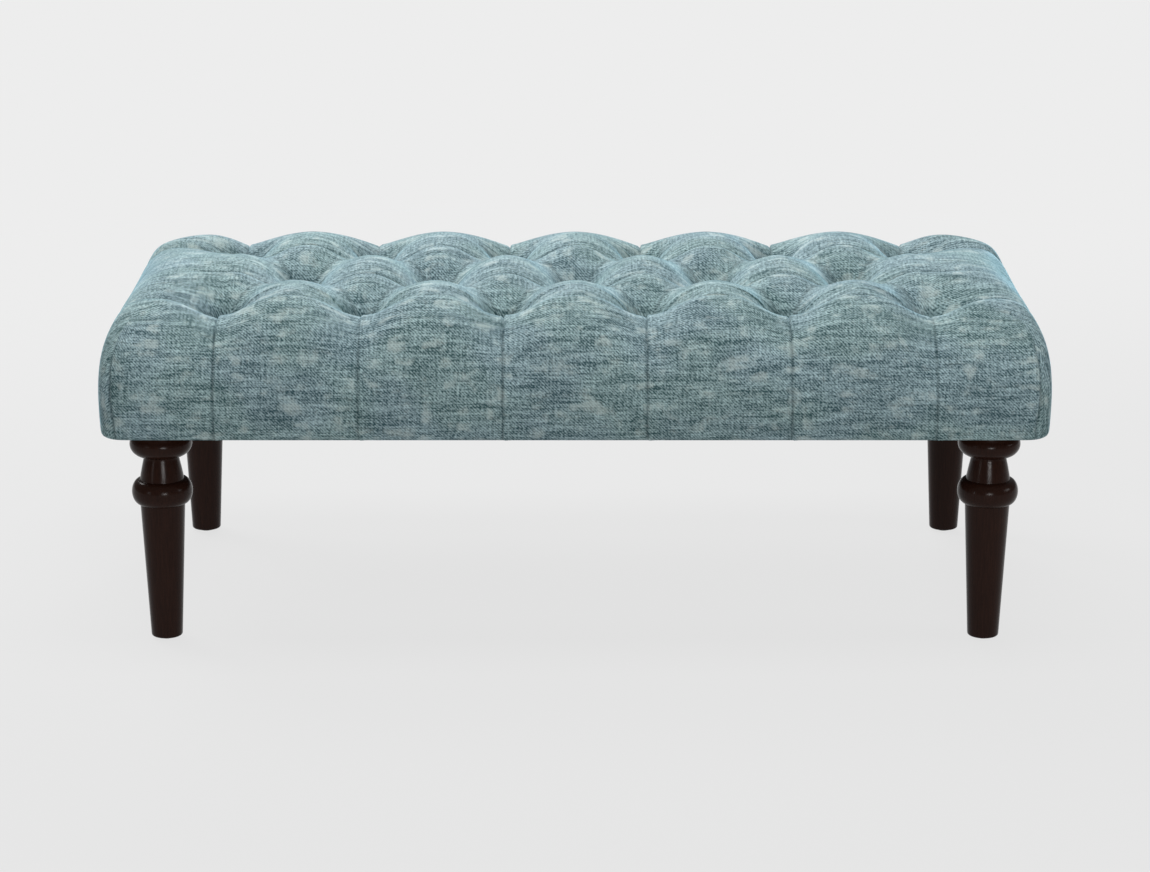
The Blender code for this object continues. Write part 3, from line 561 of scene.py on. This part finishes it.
class Cloth:
    """A cloth as cut, and where its points go: place, outward direction, depth, and spot on the sheet.

    A spot is a place along and across the unfolded cloth, and its distance from the nearest corner tuck.
    """

    def __init__(self):
        inset_x = shoulder_inset(END.width, END.fullness, FIELD_DROP)
        inset_y = shoulder_inset(FRONT.width, FRONT.fullness, FIELD_DROP)
        self.field_x = HALF_LENGTH - inset_x
        self.field_y = HALF_DEPTH - inset_y
        self.radius = corner_radius(inset_x, inset_y)
        stops = np.arange(1 - len(FRONT_X), len(FRONT_X)) * TUFT_STEP / 2
        stops = np.concatenate([[-self.field_x], stops, [self.field_x]])
        steps = [STEP_CELLS] * (len(stops) - 3)
        self.columns = eased_lines(stops, [END_CELLS, *steps, END_CELLS])
        rows = [-self.field_y]
        cells = []
        for row, ahead in FOLDS_AHEAD.items():
            rows += [row * ROW_Y - ahead, row * ROW_Y]
            cells += [BORDER_CELLS if row < 0 else BEHIND_CELLS, AHEAD_CELLS]
        self.lines = eased_lines([*rows, self.field_y], [*cells, 2 * BORDER_CELLS])
        start = float(FRONT.reach(FRONT.width - inset_y))
        foot = np.interp(-FRONT.foot_z, -FRONT.z, FRONT.run)
        end = FRONT.run[-1]
        self.foot_ring = SHOULDER_RINGS
        runs = np.concatenate([
            np.linspace(start, foot, self.foot_ring + 1),
            np.linspace(foot, end - HEM_WIDTH, FOOT_RINGS + 1)[1:],
            np.linspace(end - HEM_WIDTH, end, HEM_RINGS + 1)[1:],
        ])
        self.marks = np.interp(runs, FRONT.run, FRONT.mark)
        self.rings = len(self.marks) - 1

    def top(self, column, line):
        """Points on the buttoned top."""
        x, y = round_field(self.columns[column], self.lines[line], self.field_x, self.field_y, self.radius)
        drop = drop_at(x, y)
        step = SLOPE_STEP
        slope_x = (drop_at(x + step, y) - drop_at(x - step, y)) / (2 * step)
        slope_y = (drop_at(x, y + step) - drop_at(x, y - step)) / (2 * step)
        outward = np.stack([slope_x, slope_y, np.ones_like(x)], 1)
        outward /= np.linalg.norm(outward, axis=1, keepdims=True)
        place = np.stack([x, y, CREST_Z - drop], 1)
        depth = top_depth(x, y, END.reach(np.abs(x) - END_X), FRONT.reach(np.abs(y) - ROW_Y))
        spot = np.stack([x, y, np.full(len(x), NO_TUCK)], 1)
        return place, outward, depth, spot

    def flap(self, position, ring, sides, halves, field, keep, pleats, tuck_angles):
        """Points of one side, folded down from the top: position along it, and how many rings down."""
        mark = self.marks[ring]
        inset_along = sides[0].at(mark, sides[0].inset)
        inset_across = sides[1].at(mark, sides[1].inset)
        below = ring > self.foot_ring
        radius = np.where(below, np.maximum(CORNER_RADIUS - inset_across, HEM_CORNER_RADIUS),
                          corner_radius(inset_along, inset_across))
        share = np.clip(ring / self.foot_ring, 0, 1)
        angle = tuck_angles[0] + (tuck_angles[1] - tuck_angles[0]) * share
        straight = field - self.radius
        bent = np.clip((np.abs(position) - straight) / self.radius, 0, 1)
        round_part = straight + self.radius * np.arcsin(bent / math.sqrt(2))
        started = np.where(bent > 0, round_part, np.abs(position))
        first_end = straight + self.radius * math.pi / 4
        corner = halves[0] - inset_along - radius
        end = corner + radius * angle
        stretched = keep + (started - keep) * (end - keep) / (first_end - keep)
        along = np.where(started > keep, stretched, started)
        turn = np.clip((along - corner) / radius, 0, None)
        place_along = np.where(turn > 0, corner + radius * np.sin(turn), along)
        place_across = halves[1] - inset_across - radius + radius * np.cos(turn)
        out = sides[1].at(mark, sides[1].normal[0])
        up = sides[1].at(mark, sides[1].normal[1])
        reach = sides[1].at(mark, sides[1].run)
        sign = np.where(position < 0, -1, 1)
        place = (sign * place_along, place_across, FRONT.at(mark, FRONT.z))
        outward = (sign * np.sin(turn) * out, np.cos(turn) * out, up)
        depth = DOME_DEPTH * pleats(sign * along, reach)
        return place, outward, depth, (sign * along, reach, end - along)


def unfold(cloth):
    """The cloth as cut, a cross of the top and four sides, with the place of each of its points."""
    wide = len(cloth.columns) - 1
    deep = len(cloth.lines) - 1
    rings = cloth.rings
    sheet = bmesh.new()
    bmesh.ops.create_grid(sheet, x_segments=wide + 2 * rings, y_segments=deep + 2 * rings, size=0.5)
    bmesh.ops.scale(sheet, vec=(wide + 2 * rings, deep + 2 * rings, 1), verts=sheet.verts)
    bmesh.ops.translate(sheet, vec=(wide / 2, deep / 2, 0), verts=sheet.verts)
    spare = [v for v in sheet.verts if not (-0.5 < v.co.x < wide + 0.5 or -0.5 < v.co.y < deep + 0.5)]
    bmesh.ops.delete(sheet, geom=spare, context='VERTS')
    sheet.verts.index_update()
    index = np.rint([v.co[:2] for v in sheet.verts]).astype(int)
    column, line = index[:, 0], index[:, 1]
    place, outward, spot = (np.zeros((len(index), 3)) for _ in range(3))
    depth = np.zeros(len(index))
    ring = np.zeros(len(index), int)

    on_top = (column >= 0) & (column <= wide) & (line >= 0) & (line <= deep)
    place[on_top], outward[on_top], depth[on_top], spot[on_top] = cloth.top(column[on_top], line[on_top])
    end_angles = [math.pi / 2 - angle for angle in TUCK_ANGLES]
    for sign in (-1, 1):
        down = line - deep if sign > 0 else -line
        side = down > 0
        ring[side] = down[side]
        there, out, drop, where = cloth.flap(cloth.columns[column[side]], down[side], (END, FRONT),
                                             (HALF_LENGTH, HALF_DEPTH), cloth.field_x, END_X + PAST_TUFTS,
                                             front_pleats if sign < 0 else back_pleats, TUCK_ANGLES)
        place[side] = np.stack([there[0], sign * there[1], there[2]], 1)
        outward[side] = np.stack([out[0], sign * out[1], out[2]], 1)
        depth[side] = drop
        spot[side] = np.stack([where[0], sign * (ROW_Y + where[1]), where[2]], 1)

        down = column - wide if sign > 0 else -column
        side = down > 0
        ring[side] = down[side]
        there, out, drop, where = cloth.flap(cloth.lines[line[side]], down[side], (FRONT, END),
                                             (HALF_DEPTH, HALF_LENGTH), cloth.field_y, ROW_Y + PAST_TUFTS,
                                             end_pleats, end_angles)
        place[side] = np.stack([sign * there[1], there[0], there[2]], 1)
        outward[side] = np.stack([sign * out[1], out[0], out[2]], 1)
        depth[side] = drop
        spot[side] = np.stack([sign * (END_X + where[1]), where[0], where[2]], 1)
    depth -= spare_cloth(spot[:, 0], spot[:, 1])
    return sheet, place, outward, depth, spot, ring


def skin(cloth, start, last_ring, hole):
    """A layer of the pad as one sheet, start under the outside of the cloth, with a hole at each tuft."""
    sheet, place, outward, depth, spot, ring = unfold(cloth)
    uv = sheet.loops.layers.uv.new("sheet")
    spot_layer = sheet.verts.layers.float_vector.new("spot")
    for face in sheet.faces:
        for loop in face.loops:
            loop[uv].uv = spot[loop.vert.index][:2]
    where = place - outward * (depth + start)[:, None]
    for vert in sheet.verts:
        vert.co = where[vert.index]
        vert[spot_layer] = spot[vert.index]
    away = from_tufts(spot[:, 0], spot[:, 1])
    spare = [v for v in sheet.verts if away[v.index] < hole or ring[v.index] > last_ring]
    bmesh.ops.delete(sheet, geom=spare, context='VERTS')
    bmesh.ops.remove_doubles(sheet, verts=sheet.verts, dist=MERGE_DISTANCE)
    bmesh.ops.recalc_face_normals(sheet, faces=sheet.faces)
    return sheet


def to_mesh(name, form):
    """A finished mesh of a form, shaded smooth."""
    mesh = bpy.data.meshes.new(name)
    form.to_mesh(mesh)
    form.free()
    mesh.shade_smooth()
    return mesh


def show(name, data):
    """A new object in the scene."""
    piece = bpy.data.objects.new(name, data)
    bpy.context.scene.collection.objects.link(piece)
    return piece


def stand_in(piece, material, body, slot, *nodes):
    """Give a piece its finish and its body, and hide the CAD nodes it stands for."""
    put_on(piece, material)
    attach(piece, body)
    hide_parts(*nodes)
    return piece


def thicken(piece, thickness, offset):
    """Give a sheet its thickness: inwards where the offset is -1, to both sides where it is 0."""
    thick = piece.modifiers.new("thickness", 'SOLIDIFY')
    thick.thickness = thickness
    thick.offset = offset


def numbers(layer, name):
    """Three numbers for each item of a mesh layer."""
    values = np.zeros(len(layer) * 3, np.float32)
    layer.foreach_get(name, values)
    return values.reshape(-1, 3).astype(float)


def baked(piece):
    """The piece's mesh with its modifiers applied."""
    graph = bpy.context.evaluated_depsgraph_get()
    mesh = bpy.data.meshes.new_from_object(piece.evaluated_get(graph))
    piece.modifiers.clear()
    return mesh


def swell(piece):
    """Let the pad press the cloth outwards, held at the tufts, in folds and end pleats, and at its foot."""
    mesh = piece.data
    rest = numbers(mesh.vertices, "co")
    spot = numbers(mesh.attributes["spot"].data, "vector")
    s, t = spot[:, 0], spot[:, 1]
    held = np.clip(TUFT_HOLD - from_tufts(s, t) / TUFT_HOLD_FADE, 0, 1)
    held = np.maximum(held, np.clip((UNDERSIDE_Z + FOOT_HOLD - rest[:, 2]) / FOOT_HOLD_FADE, 0, 1))
    for _, behind, share in dome_folds(s, t):
        held = np.maximum(held, FOLD_HOLD * share * hump(behind, FOLD_HOLD_WIDTH))
    past_end = np.clip((np.abs(s) - END_X) / END_HOLD_FADE, 0, 1)
    held = np.maximum(held, FOLD_HOLD * past_end * hump(np.abs(t) - ROW_Y, END_HOLD_WIDTH))
    group = piece.vertex_groups.new(name="held")
    for index, weight in enumerate(held):
        if weight > 0:
            group.add([index], weight, 'REPLACE')
    cloth = piece.modifiers.new("swell", 'CLOTH')
    settings = cloth.settings
    settings.quality = 5
    settings.mass = 0.2
    settings.tension_stiffness = 15
    settings.compression_stiffness = 15
    settings.bending_stiffness = 0.5
    settings.use_pressure = True
    settings.uniform_pressure_force = SWELL_PRESSURE
    settings.vertex_group_mass = "held"
    settings.effector_weights.gravity = 0
    cloth.point_cache.frame_end = SWELL_FRAMES
    scene = bpy.context.scene
    for number in range(1, SWELL_FRAMES + 1):
        scene.frame_set(number)
    piece.data = baked(piece)
    moved = numbers(piece.data.vertices, "co") - rest
    scene.frame_set(1)
    size = np.linalg.norm(moved, axis=1, keepdims=True)
    moved *= np.minimum(1, SWELL_CAP / np.maximum(size, 1e-9))
    piece.data.vertices.foreach_set("co", (rest + moved).astype(np.float32).ravel())
    piece.vertex_groups.clear()


def sharp_lines(spot, height):
    """The sharp lines of the finished cloth: how much each spot rises, and how far it is in a crease, which
    the linen also uses for painted shade.
    """
    s, t, corner = spot[:, 0], spot[:, 1], spot[:, 2]
    past_row = np.clip((np.abs(t) - ROW_Y - LINE_START) / LINE_FADE, 0, 1)
    past_row *= np.abs(s) < END_X + LINE_BESIDE
    past_end = np.clip((np.abs(s) - END_X - LINE_START) / LINE_FADE, 0, 1)
    past_end *= np.abs(t) < ROW_Y + LINE_BESIDE
    on_side = height > UNDERSIDE_Z + ON_HEM
    rise = np.zeros(len(s))
    shaded_crease = np.zeros(len(s))
    for line in FRONT_X:
        right = s - line
        lap = np.where(right > 0, np.exp(-right / LAP_OVER), -LAP_SINK * np.exp(right / LAP_UNDER))
        rise += LAP_RISE * lap * (np.abs(right) < LAP_REACH) * past_row * on_side
        shaded_crease = np.maximum(shaded_crease, hump(right, LINE_WIDTH) * past_row * on_side)
    for line in (-ROW_Y, ROW_Y):
        shaded_crease = np.maximum(shaded_crease, hump(t - line, LINE_WIDTH) * past_end * on_side)
    rise -= LINE_DEPTH * shaded_crease
    tuck = hump(corner, TUCK_WIDTH) * np.clip((TUCK_TOP_Z - height) / TUCK_FADE, 0, 1) * on_side
    rise -= TUCK_DEPTH * tuck
    shaded_crease = np.maximum(shaded_crease, tuck)
    # The folds are sunk as shallow grooves and also marked for painted shade in their creases
    for row, behind, share in dome_folds(s, t):
        fold = share * hump(behind - CREASE_BEHIND, CREASE_WIDTH)
        rise -= CREASE_DEPTH * fold
        shaded_crease = np.maximum(shaded_crease, (FRONT_CREASE_PAINTED_SHADE if row < 0 else CREASE_PAINTED_SHADE) * fold)
    return rise, shaded_crease


def build_cover(linen):
    """The linen cover: swollen by the pad, then finished with its pleat lines and folds."""
    cloth = Cloth()
    cover = show("linen_cover", to_mesh("linen_cover", skin(cloth, 0, cloth.rings, COVER_HOLE)))
    swell(cover)
    smooth = cover.modifiers.new("smooth", 'SUBSURF')
    smooth.levels = 1
    smooth.render_levels = 1
    mesh = baked(cover)
    place = numbers(mesh.vertices, "co")
    spot = numbers(mesh.attributes["spot"].data, "vector")
    rise, shaded_crease = sharp_lines(spot, place[:, 2])
    place += numbers(mesh.vertex_normals, "vector") * rise[:, None]
    mesh.vertices.foreach_set("co", place.astype(np.float32).ravel())
    inside = np.minimum(END_X - np.abs(spot[:, 0]), ROW_Y - np.abs(spot[:, 1])) / FIELD_FADE
    # The crease mask is stored for the linen's painted shade in the creases; the field mask keeps its
    # painted tuft-to-tuft lines among the tufts
    for label, values in (("shaded_crease", shaded_crease), ("field", np.clip(inside, 0, 1))):
        mesh.attributes.new(label, 'FLOAT', 'POINT').data.foreach_set("value", values.astype(np.float32))
    mesh.update()
    cover.data = mesh
    thicken(cover, CLOTH_THICKNESS, -1)
    stand_in(cover, linen, "frame", "fabric", "cover")


def build_padding(fibre, foam):
    """The wadding, a soft layer over the pad, and the foam on the deck; both are holed for the twine."""
    cloth = Cloth()
    layer = skin(cloth, WADDING_START, cloth.foot_ring, PAD_HOLE)
    wadding = show("wadding_layer", to_mesh("wadding_layer", layer))
    thicken(wadding, WADDING_THICKNESS, -1)
    stand_in(wadding, fibre, "frame", "wadding", "wadding")

    rings = int(np.sum(FRONT.at(cloth.marks, FRONT.z) > DECK_TOP_Z + FOAM_EDGE)) - 1
    block = skin(cloth, FOAM_START, rings, PAD_HOLE)
    lower = bmesh.ops.extrude_face_region(block, geom=block.faces[:])["geom"]
    for vert in [item for item in lower if isinstance(item, bmesh.types.BMVert)]:
        vert.co.z = DECK_TOP_Z + FOAM_ABOVE_DECK
    bmesh.ops.recalc_face_normals(block, faces=block.faces)
    pad = show("foam_block", to_mesh("foam_block", block))
    stand_in(pad, foam, "frame", "foam", "foam_pad")


def turned(profile, sides, axis):
    """A turned form from its profile of radius and height, standing on a plan point."""
    form = bmesh.new()
    verts = [form.verts.new((radius, 0, height)) for radius, height in profile]
    edges = [form.edges.new(pair) for pair in zip(verts[:-1], verts[1:])]
    bmesh.ops.spin(form, geom=verts + edges, cent=(0, 0, 0), axis=(0, 0, 1), angle=math.tau, steps=sides,
                   use_merge=True)
    bmesh.ops.remove_doubles(form, verts=form.verts, dist=WELD_DISTANCE)
    bmesh.ops.recalc_face_normals(form, faces=form.faces)
    bmesh.ops.translate(form, vec=(axis[0], axis[1], 0), verts=form.verts)
    return form


def arc(centre, half_width, half_height, start, end, steps):
    """Points on an ellipse, angles in degrees from outwards to upwards."""
    angles = [math.radians(start + (end - start) * k / steps) for k in range(steps + 1)]
    return [(centre[0] + half_width * math.cos(a), centre[1] + half_height * math.sin(a)) for a in angles]


def leg_profile(top, foot):
    """Bun, flaring neck, bead and taper, with the holes for the hanger bolt and the glide's nail."""
    neck_top = top - BUN_HEIGHT
    neck_foot = neck_top - NECK_HEIGHT
    taper_top = neck_foot - BEAD_HEIGHT
    foot_radius = TAPER_RADIUS - TAPER_NARROWING
    bolt_radius, bolt_depth = BOLT_HOLE
    nail_radius, nail_depth = NAIL_HOLE
    profile = [(0, top - bolt_depth), (bolt_radius, top - bolt_depth), (bolt_radius, top)]
    profile += [(LEG_TOP_RADIUS, top)]
    profile += arc((NECK_RADIUS, neck_top + BUN_HEIGHT / 2), BUN_BULGE, BUN_HEIGHT / 2, 36, -90, 14)
    profile += [(NECK_RADIUS, neck_top - NECK_STEP)]
    for part in np.linspace(0, 1, 9)[1:]:
        flare = NECK_FLARE * part + NECK_BULGE * math.sin(math.pi * part)
        profile += [(NECK_RADIUS + flare, neck_top - NECK_STEP - (NECK_HEIGHT - NECK_STEP) * part)]
    profile += arc((BEAD_INNER, neck_foot - BEAD_HEIGHT / 2), BEAD_BULGE, BEAD_HEIGHT / 2, 72, -72, 16)
    taper_height = taper_top - foot - FOOT_ROUND
    for part in np.linspace(0, 1, 7):
        profile += [(TAPER_RADIUS - TAPER_NARROWING * part, taper_top - taper_height * part)]
    profile += arc((foot_radius - FOOT_ROUND, foot + FOOT_ROUND), FOOT_ROUND, FOOT_ROUND, -15, -90, 5)
    profile += [(nail_radius, foot), (nail_radius, foot + nail_depth), (0, foot + nail_depth)]
    return profile


def hard_edges(mesh, angle):
    """The mesh with its edges sharp where it turns by more than an angle in degrees."""
    mesh.set_sharp_from_angle(angle=math.radians(angle))
    return mesh


def glide_profile(tip):
    """Nail with its point, and the round plate that stands on the floor."""
    plate = GLIDE_THICKNESS
    edge = GLIDE_EDGE_ROUND
    profile = [(0, tip), (NAIL_RADIUS, tip - NAIL_RADIUS), (NAIL_RADIUS, plate)]
    profile += arc((GLIDE_EDGE_RADIUS, plate - edge), edge, edge, 90, -30, 5)
    return profile + [(GLIDE_EDGE_RADIUS - edge / 2, GLIDE_FACE_RISE), (GLIDE_FACE_RADIUS, 0), (0, 0)]


def build_legs(lacquer, nylon):
    """Turned legs, each with its nail-on glide."""
    for corner in CORNERS:
        low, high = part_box(corner + "_leg")
        axis = (low + high) / 2
        leg = turned(leg_profile(high.z, low.z), LEG_SIDES, axis)
        piece = show(corner + "_turned_leg", hard_edges(to_mesh(corner + "_turned_leg", leg), LEG_SHARP))
        stand_in(piece, lacquer, corner + "_leg", "lacquered_wood", corner + "_leg")
        low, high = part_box(corner + "_glide")
        glide = turned(glide_profile(high.z), GLIDE_SIDES, axis)
        piece = show(corner + "_nail_glide", hard_edges(to_mesh(corner + "_nail_glide", glide), LEG_SHARP))
        stand_in(piece, nylon, corner + "_leg", "glide_plastic", corner + "_glide")


def build_buttons(linen):
    """Covered buttons at the bottom of the tufts; their eyes lie hidden and aren't drawn."""
    for name in BUTTONS:
        low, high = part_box(name)
        middle = (low + high) / 2
        back = high.z - BUTTON_HEIGHT
        profile = [(0, high.z)]
        profile += arc((0, high.z - BUTTON_DOME), BUTTON_RADIUS, BUTTON_DOME, 80, 0, 8)
        profile += [(BUTTON_BACK_RADIUS, back), (0, back)]
        button = turned(profile, BUTTON_SIDES, middle)
        uv = button.loops.layers.uv.new("sheet")
        for face in button.faces:
            for loop in face.loops:
                loop[uv].uv = loop.vert.co.xy
        label = "covered_" + name
        piece = show(label, hard_edges(to_mesh(label, button), BUTTON_SHARP))
        stand_in(piece, linen, "frame", "fabric", name)


def build_dust_cover(felt):
    """Black dust cloth under the frame, a little slack between the rails, with holes for the leg bolts."""
    low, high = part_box("dust_cover")
    leg_low, leg_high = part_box("front_right_leg")
    leg = (leg_low + leg_high) / 2
    hole = BOLT_CLEARANCE
    half_x, half_y = high.x, high.y
    reach = abs(leg.y)
    grid_x, grid_y = DUST_GRID_HALF
    slack_x, slack_y = DUST_SLACK_HALF
    columns = [-half_x, -leg.x - hole, -leg.x + hole, *np.linspace(-grid_x, grid_x, DUST_GRID_LINES[0])]
    columns += [leg.x - hole, leg.x + hole, half_x]
    lines = [-half_y, -reach - hole, -reach + hole, *np.linspace(-grid_y, grid_y, DUST_GRID_LINES[1])]
    lines += [reach - hole, reach + hole, half_y]
    form = bmesh.new()
    bmesh.ops.create_grid(form, x_segments=len(columns) - 1, y_segments=len(lines) - 1, size=0.5)
    for vert in form.verts:
        x = columns[round((vert.co.x + 0.5) * (len(columns) - 1))]
        y = lines[round((vert.co.y + 0.5) * (len(lines) - 1))]
        slack = max(0, 1 - (x / slack_x) ** 2) * max(0, 1 - (y / slack_y) ** 2)
        ripple = 1 + DUST_RIPPLE * math.sin(DUST_RIPPLE_RATES[0] * x) * math.cos(DUST_RIPPLE_RATES[1] * y)
        over_x = max(0, abs(x) - half_x + DUST_CORNER) / DUST_CORNER
        over_y = max(0, abs(y) - half_y + DUST_CORNER) / DUST_CORNER
        x -= math.copysign(DUST_CORNER * over_x * (1 - math.sqrt(1 - over_y ** 2 / 2)), x)
        y -= math.copysign(DUST_CORNER * over_y * (1 - math.sqrt(1 - over_x ** 2 / 2)), y)
        vert.co = (x, y, low.z + DUST_LIFT - DUST_SLACK * slack * ripple)
    spare = [face for face in form.faces if max(abs(abs(face.calc_center_median().x) - leg.x),
                                                abs(abs(face.calc_center_median().y) - reach)) < hole]
    bmesh.ops.delete(form, geom=spare, context='FACES')
    bmesh.ops.recalc_face_normals(form, faces=form.faces)
    cloth = show("dust_cloth", to_mesh("dust_cloth", form))
    thicken(cloth, DUST_THICKNESS, 0)
    stand_in(cloth, felt, "frame", "dust_cloth", "dust_cover")


def finish_nodes(finishes):
    """The frame's own pieces that stay shown, each with its finish."""
    for name, material in finishes.items():
        put_on(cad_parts[name], material)


def look_at(piece, target):
    """Turn a lamp towards a point."""
    piece.rotation_euler = (Vector(target) - piece.location).to_track_quat('-Z', 'Y').to_euler()


def softbox(name, place, target, width, height, power):
    """A soft rectangular lamp, aimed at a point; metres and watts."""
    light = bpy.data.lights.new(name, 'AREA')
    light.shape = 'RECTANGLE'
    light.size = width
    light.size_y = height
    light.energy = power
    lamp = show(name, light)
    lamp.location = place
    look_at(lamp, target)


def studio():
    """Pale floor, soft light from above and behind, a low front fill, and the photo's camera."""
    floor = bmesh.new()
    bmesh.ops.create_grid(floor, x_segments=1, y_segments=1, size=30)
    mesh = bpy.data.meshes.new("floor")
    floor.to_mesh(mesh)
    floor.free()
    ground = show("floor", mesh)
    material, tree, shader = new_material("pale_floor")
    shader.inputs["Base Color"].default_value = srgb("#B4B4B4")
    shader.inputs["Roughness"].default_value = 1.0
    shader.inputs["Specular IOR Level"].default_value = 0.0
    # The floor is seen as an even pale grey that keeps a faint shadow near the stool
    glow = node(tree, "Emission", {"Color": srgb("#EDEDED"), "Strength": 1.0})["Emission"]
    path = node(tree, "LightPath")
    seen = node(tree, "Math", {0: path["Is Camera Ray"], 1: path["Is Glossy Ray"]}, operation='ADD')["Value"]
    seen = node(tree, "Math", {0: seen, 1: path["Is Transmission Ray"]}, operation='ADD',
                use_clamp=True)["Value"]
    spot = node(tree, "TexCoord")["Object"]
    far = node(tree, "VectorMath", {0: spot}, operation='LENGTH')["Value"]
    even = node(tree, "MapRange", {"Value": far, "From Min": 0.9, "From Max": 2.6, "To Min": 0.86,
                                   "To Max": 1.0}, interpolation_type='SMOOTHSTEP')["Result"]
    part = node(tree, "Math", {0: seen, 1: even}, operation='MULTIPLY')["Value"]
    mixed = node(tree, "MixShader", {0: part, 1: shader.outputs["BSDF"], 2: glow})["Shader"]
    tree.links.new(mixed, tree.nodes["Material Output"].inputs["Surface"])
    put_on(ground, material)

    world = bpy.context.scene.world or bpy.data.worlds.new("studio")
    bpy.context.scene.world = world
    world.use_nodes = True
    sky = world.node_tree
    backdrop = sky.nodes["Background"]
    seen = node(sky, "LightPath")["Is Camera Ray"]
    colour = node(sky, "Mix", {0: seen, 6: srgb("#828282"), 7: srgb("#EBEBEB")}, data_type='RGBA')[2]
    sky.links.new(colour, backdrop.inputs["Color"])
    backdrop.inputs["Strength"].default_value = 1.0

    softbox("top_light", (0, -0.2, 3.0), (0, 0, 0.4), 2.0, 1.2, 45)
    softbox("key_light", (-1.9, 1.6, 2.4), (0, 0, 0.4), 1.4, 1.0, 46)
    softbox("rim_light", (-0.3, 3.3, 1.75), (0, 0, 0.4), 2.4, 0.6, 86)
    softbox("front_fill", (0.6, -4.4, 0.9), (0, 0, 0.3), 1.2, 0.5, 49)
    softbox("right_fill", (3.2, -0.8, 1.2), (0, 0, 0.35), 1.0, 0.6, 11)
    softbox("left_strip", (-2.7, -2.3, 0.75), (0, 0, 0.3), 0.12, 0.7, 3.5)

    # Camera as fitted to the photo's feet and rows of tufts
    camera = bpy.data.cameras.new("camera")
    camera.sensor_width = 36
    camera.lens = 104.06
    viewer = show("camera", camera)
    viewer.location = (0, -4.3806, 1.409)
    viewer.rotation_euler = (math.radians(90 - 15.35), 0, 0)
    bpy.context.scene.camera = viewer
    bpy.context.scene.view_settings.view_transform = 'Standard'


studio()
linen = slub_linen()
# Polyester wadding and upholstery foam
fibre = speckled("polyester_wadding", "#D9D6CC", "#F1EFE8", 0.95, 2.5, 0.6)
foam = speckled("upholstery_foam", "#D8CC9A", "#E9DFB4", 0.95, 0.9, 0.4)
# Beech legs under dark walnut lacquer
lacquer = grained("walnut_lacquer", "#21120D", "#2F1B14", 0.2, 0.7, (1.6, 1.6, 70), 0.09, 0.12)
# Softwood of the frame, by the way its grain runs, and birch plywood
pine_long = grained("pine_along", "#B98F5C", "#D6B27E", 0.65, 0.6, (180, 5, 5), 0.3, 0.2)
pine_cross = grained("pine_across", "#B78D5A", "#D4AF7B", 0.65, 0.6, (5, 180, 5), 0.3, 0.2)
plywood = grained("birch_plywood", "#C3A06E", "#DCC093", 0.6, 0.7, (220, 14, 1.4), 0.3, 0.15)
# Zinc-plated steel, nylon, black nonwoven and waxed linen twine
zinc = speckled("zinc_plate", "#8E9498", "#B9BEC1", 0.35, 1.2, 0.1, metallic=1.0)
nylon = speckled("black_nylon", "#141414", "#1F1F20", 0.45, 0.6, 0.15)
felt = speckled("black_nonwoven", "#121214", "#232327", 0.95, 1.1, 0.5)
twine = speckled("waxed_twine", "#8A7A58", "#B7A781", 0.75, 0.8, 0.5)

build_cover(linen)
build_padding(fibre, foam)
build_legs(lacquer, nylon)
build_buttons(linen)
build_dust_cover(felt)
finishes = {"deck_board": plywood, "front_rail": pine_long, "back_rail": pine_long}
for side in ("left", "right"):
    finishes[side + "_end_rail"] = pine_cross
    finishes[side + "_cross_bearer"] = pine_cross
finishes.update({bay + "_tufting_twine": twine for bay in ("left", "centre", "right")})
for corner in CORNERS:
    finishes[corner + "_corner_block"] = pine_cross
    finishes[corner + "_t_nut"] = zinc
    finishes[corner + "_hanger_bolt"] = zinc
finish_nodes(finishes)
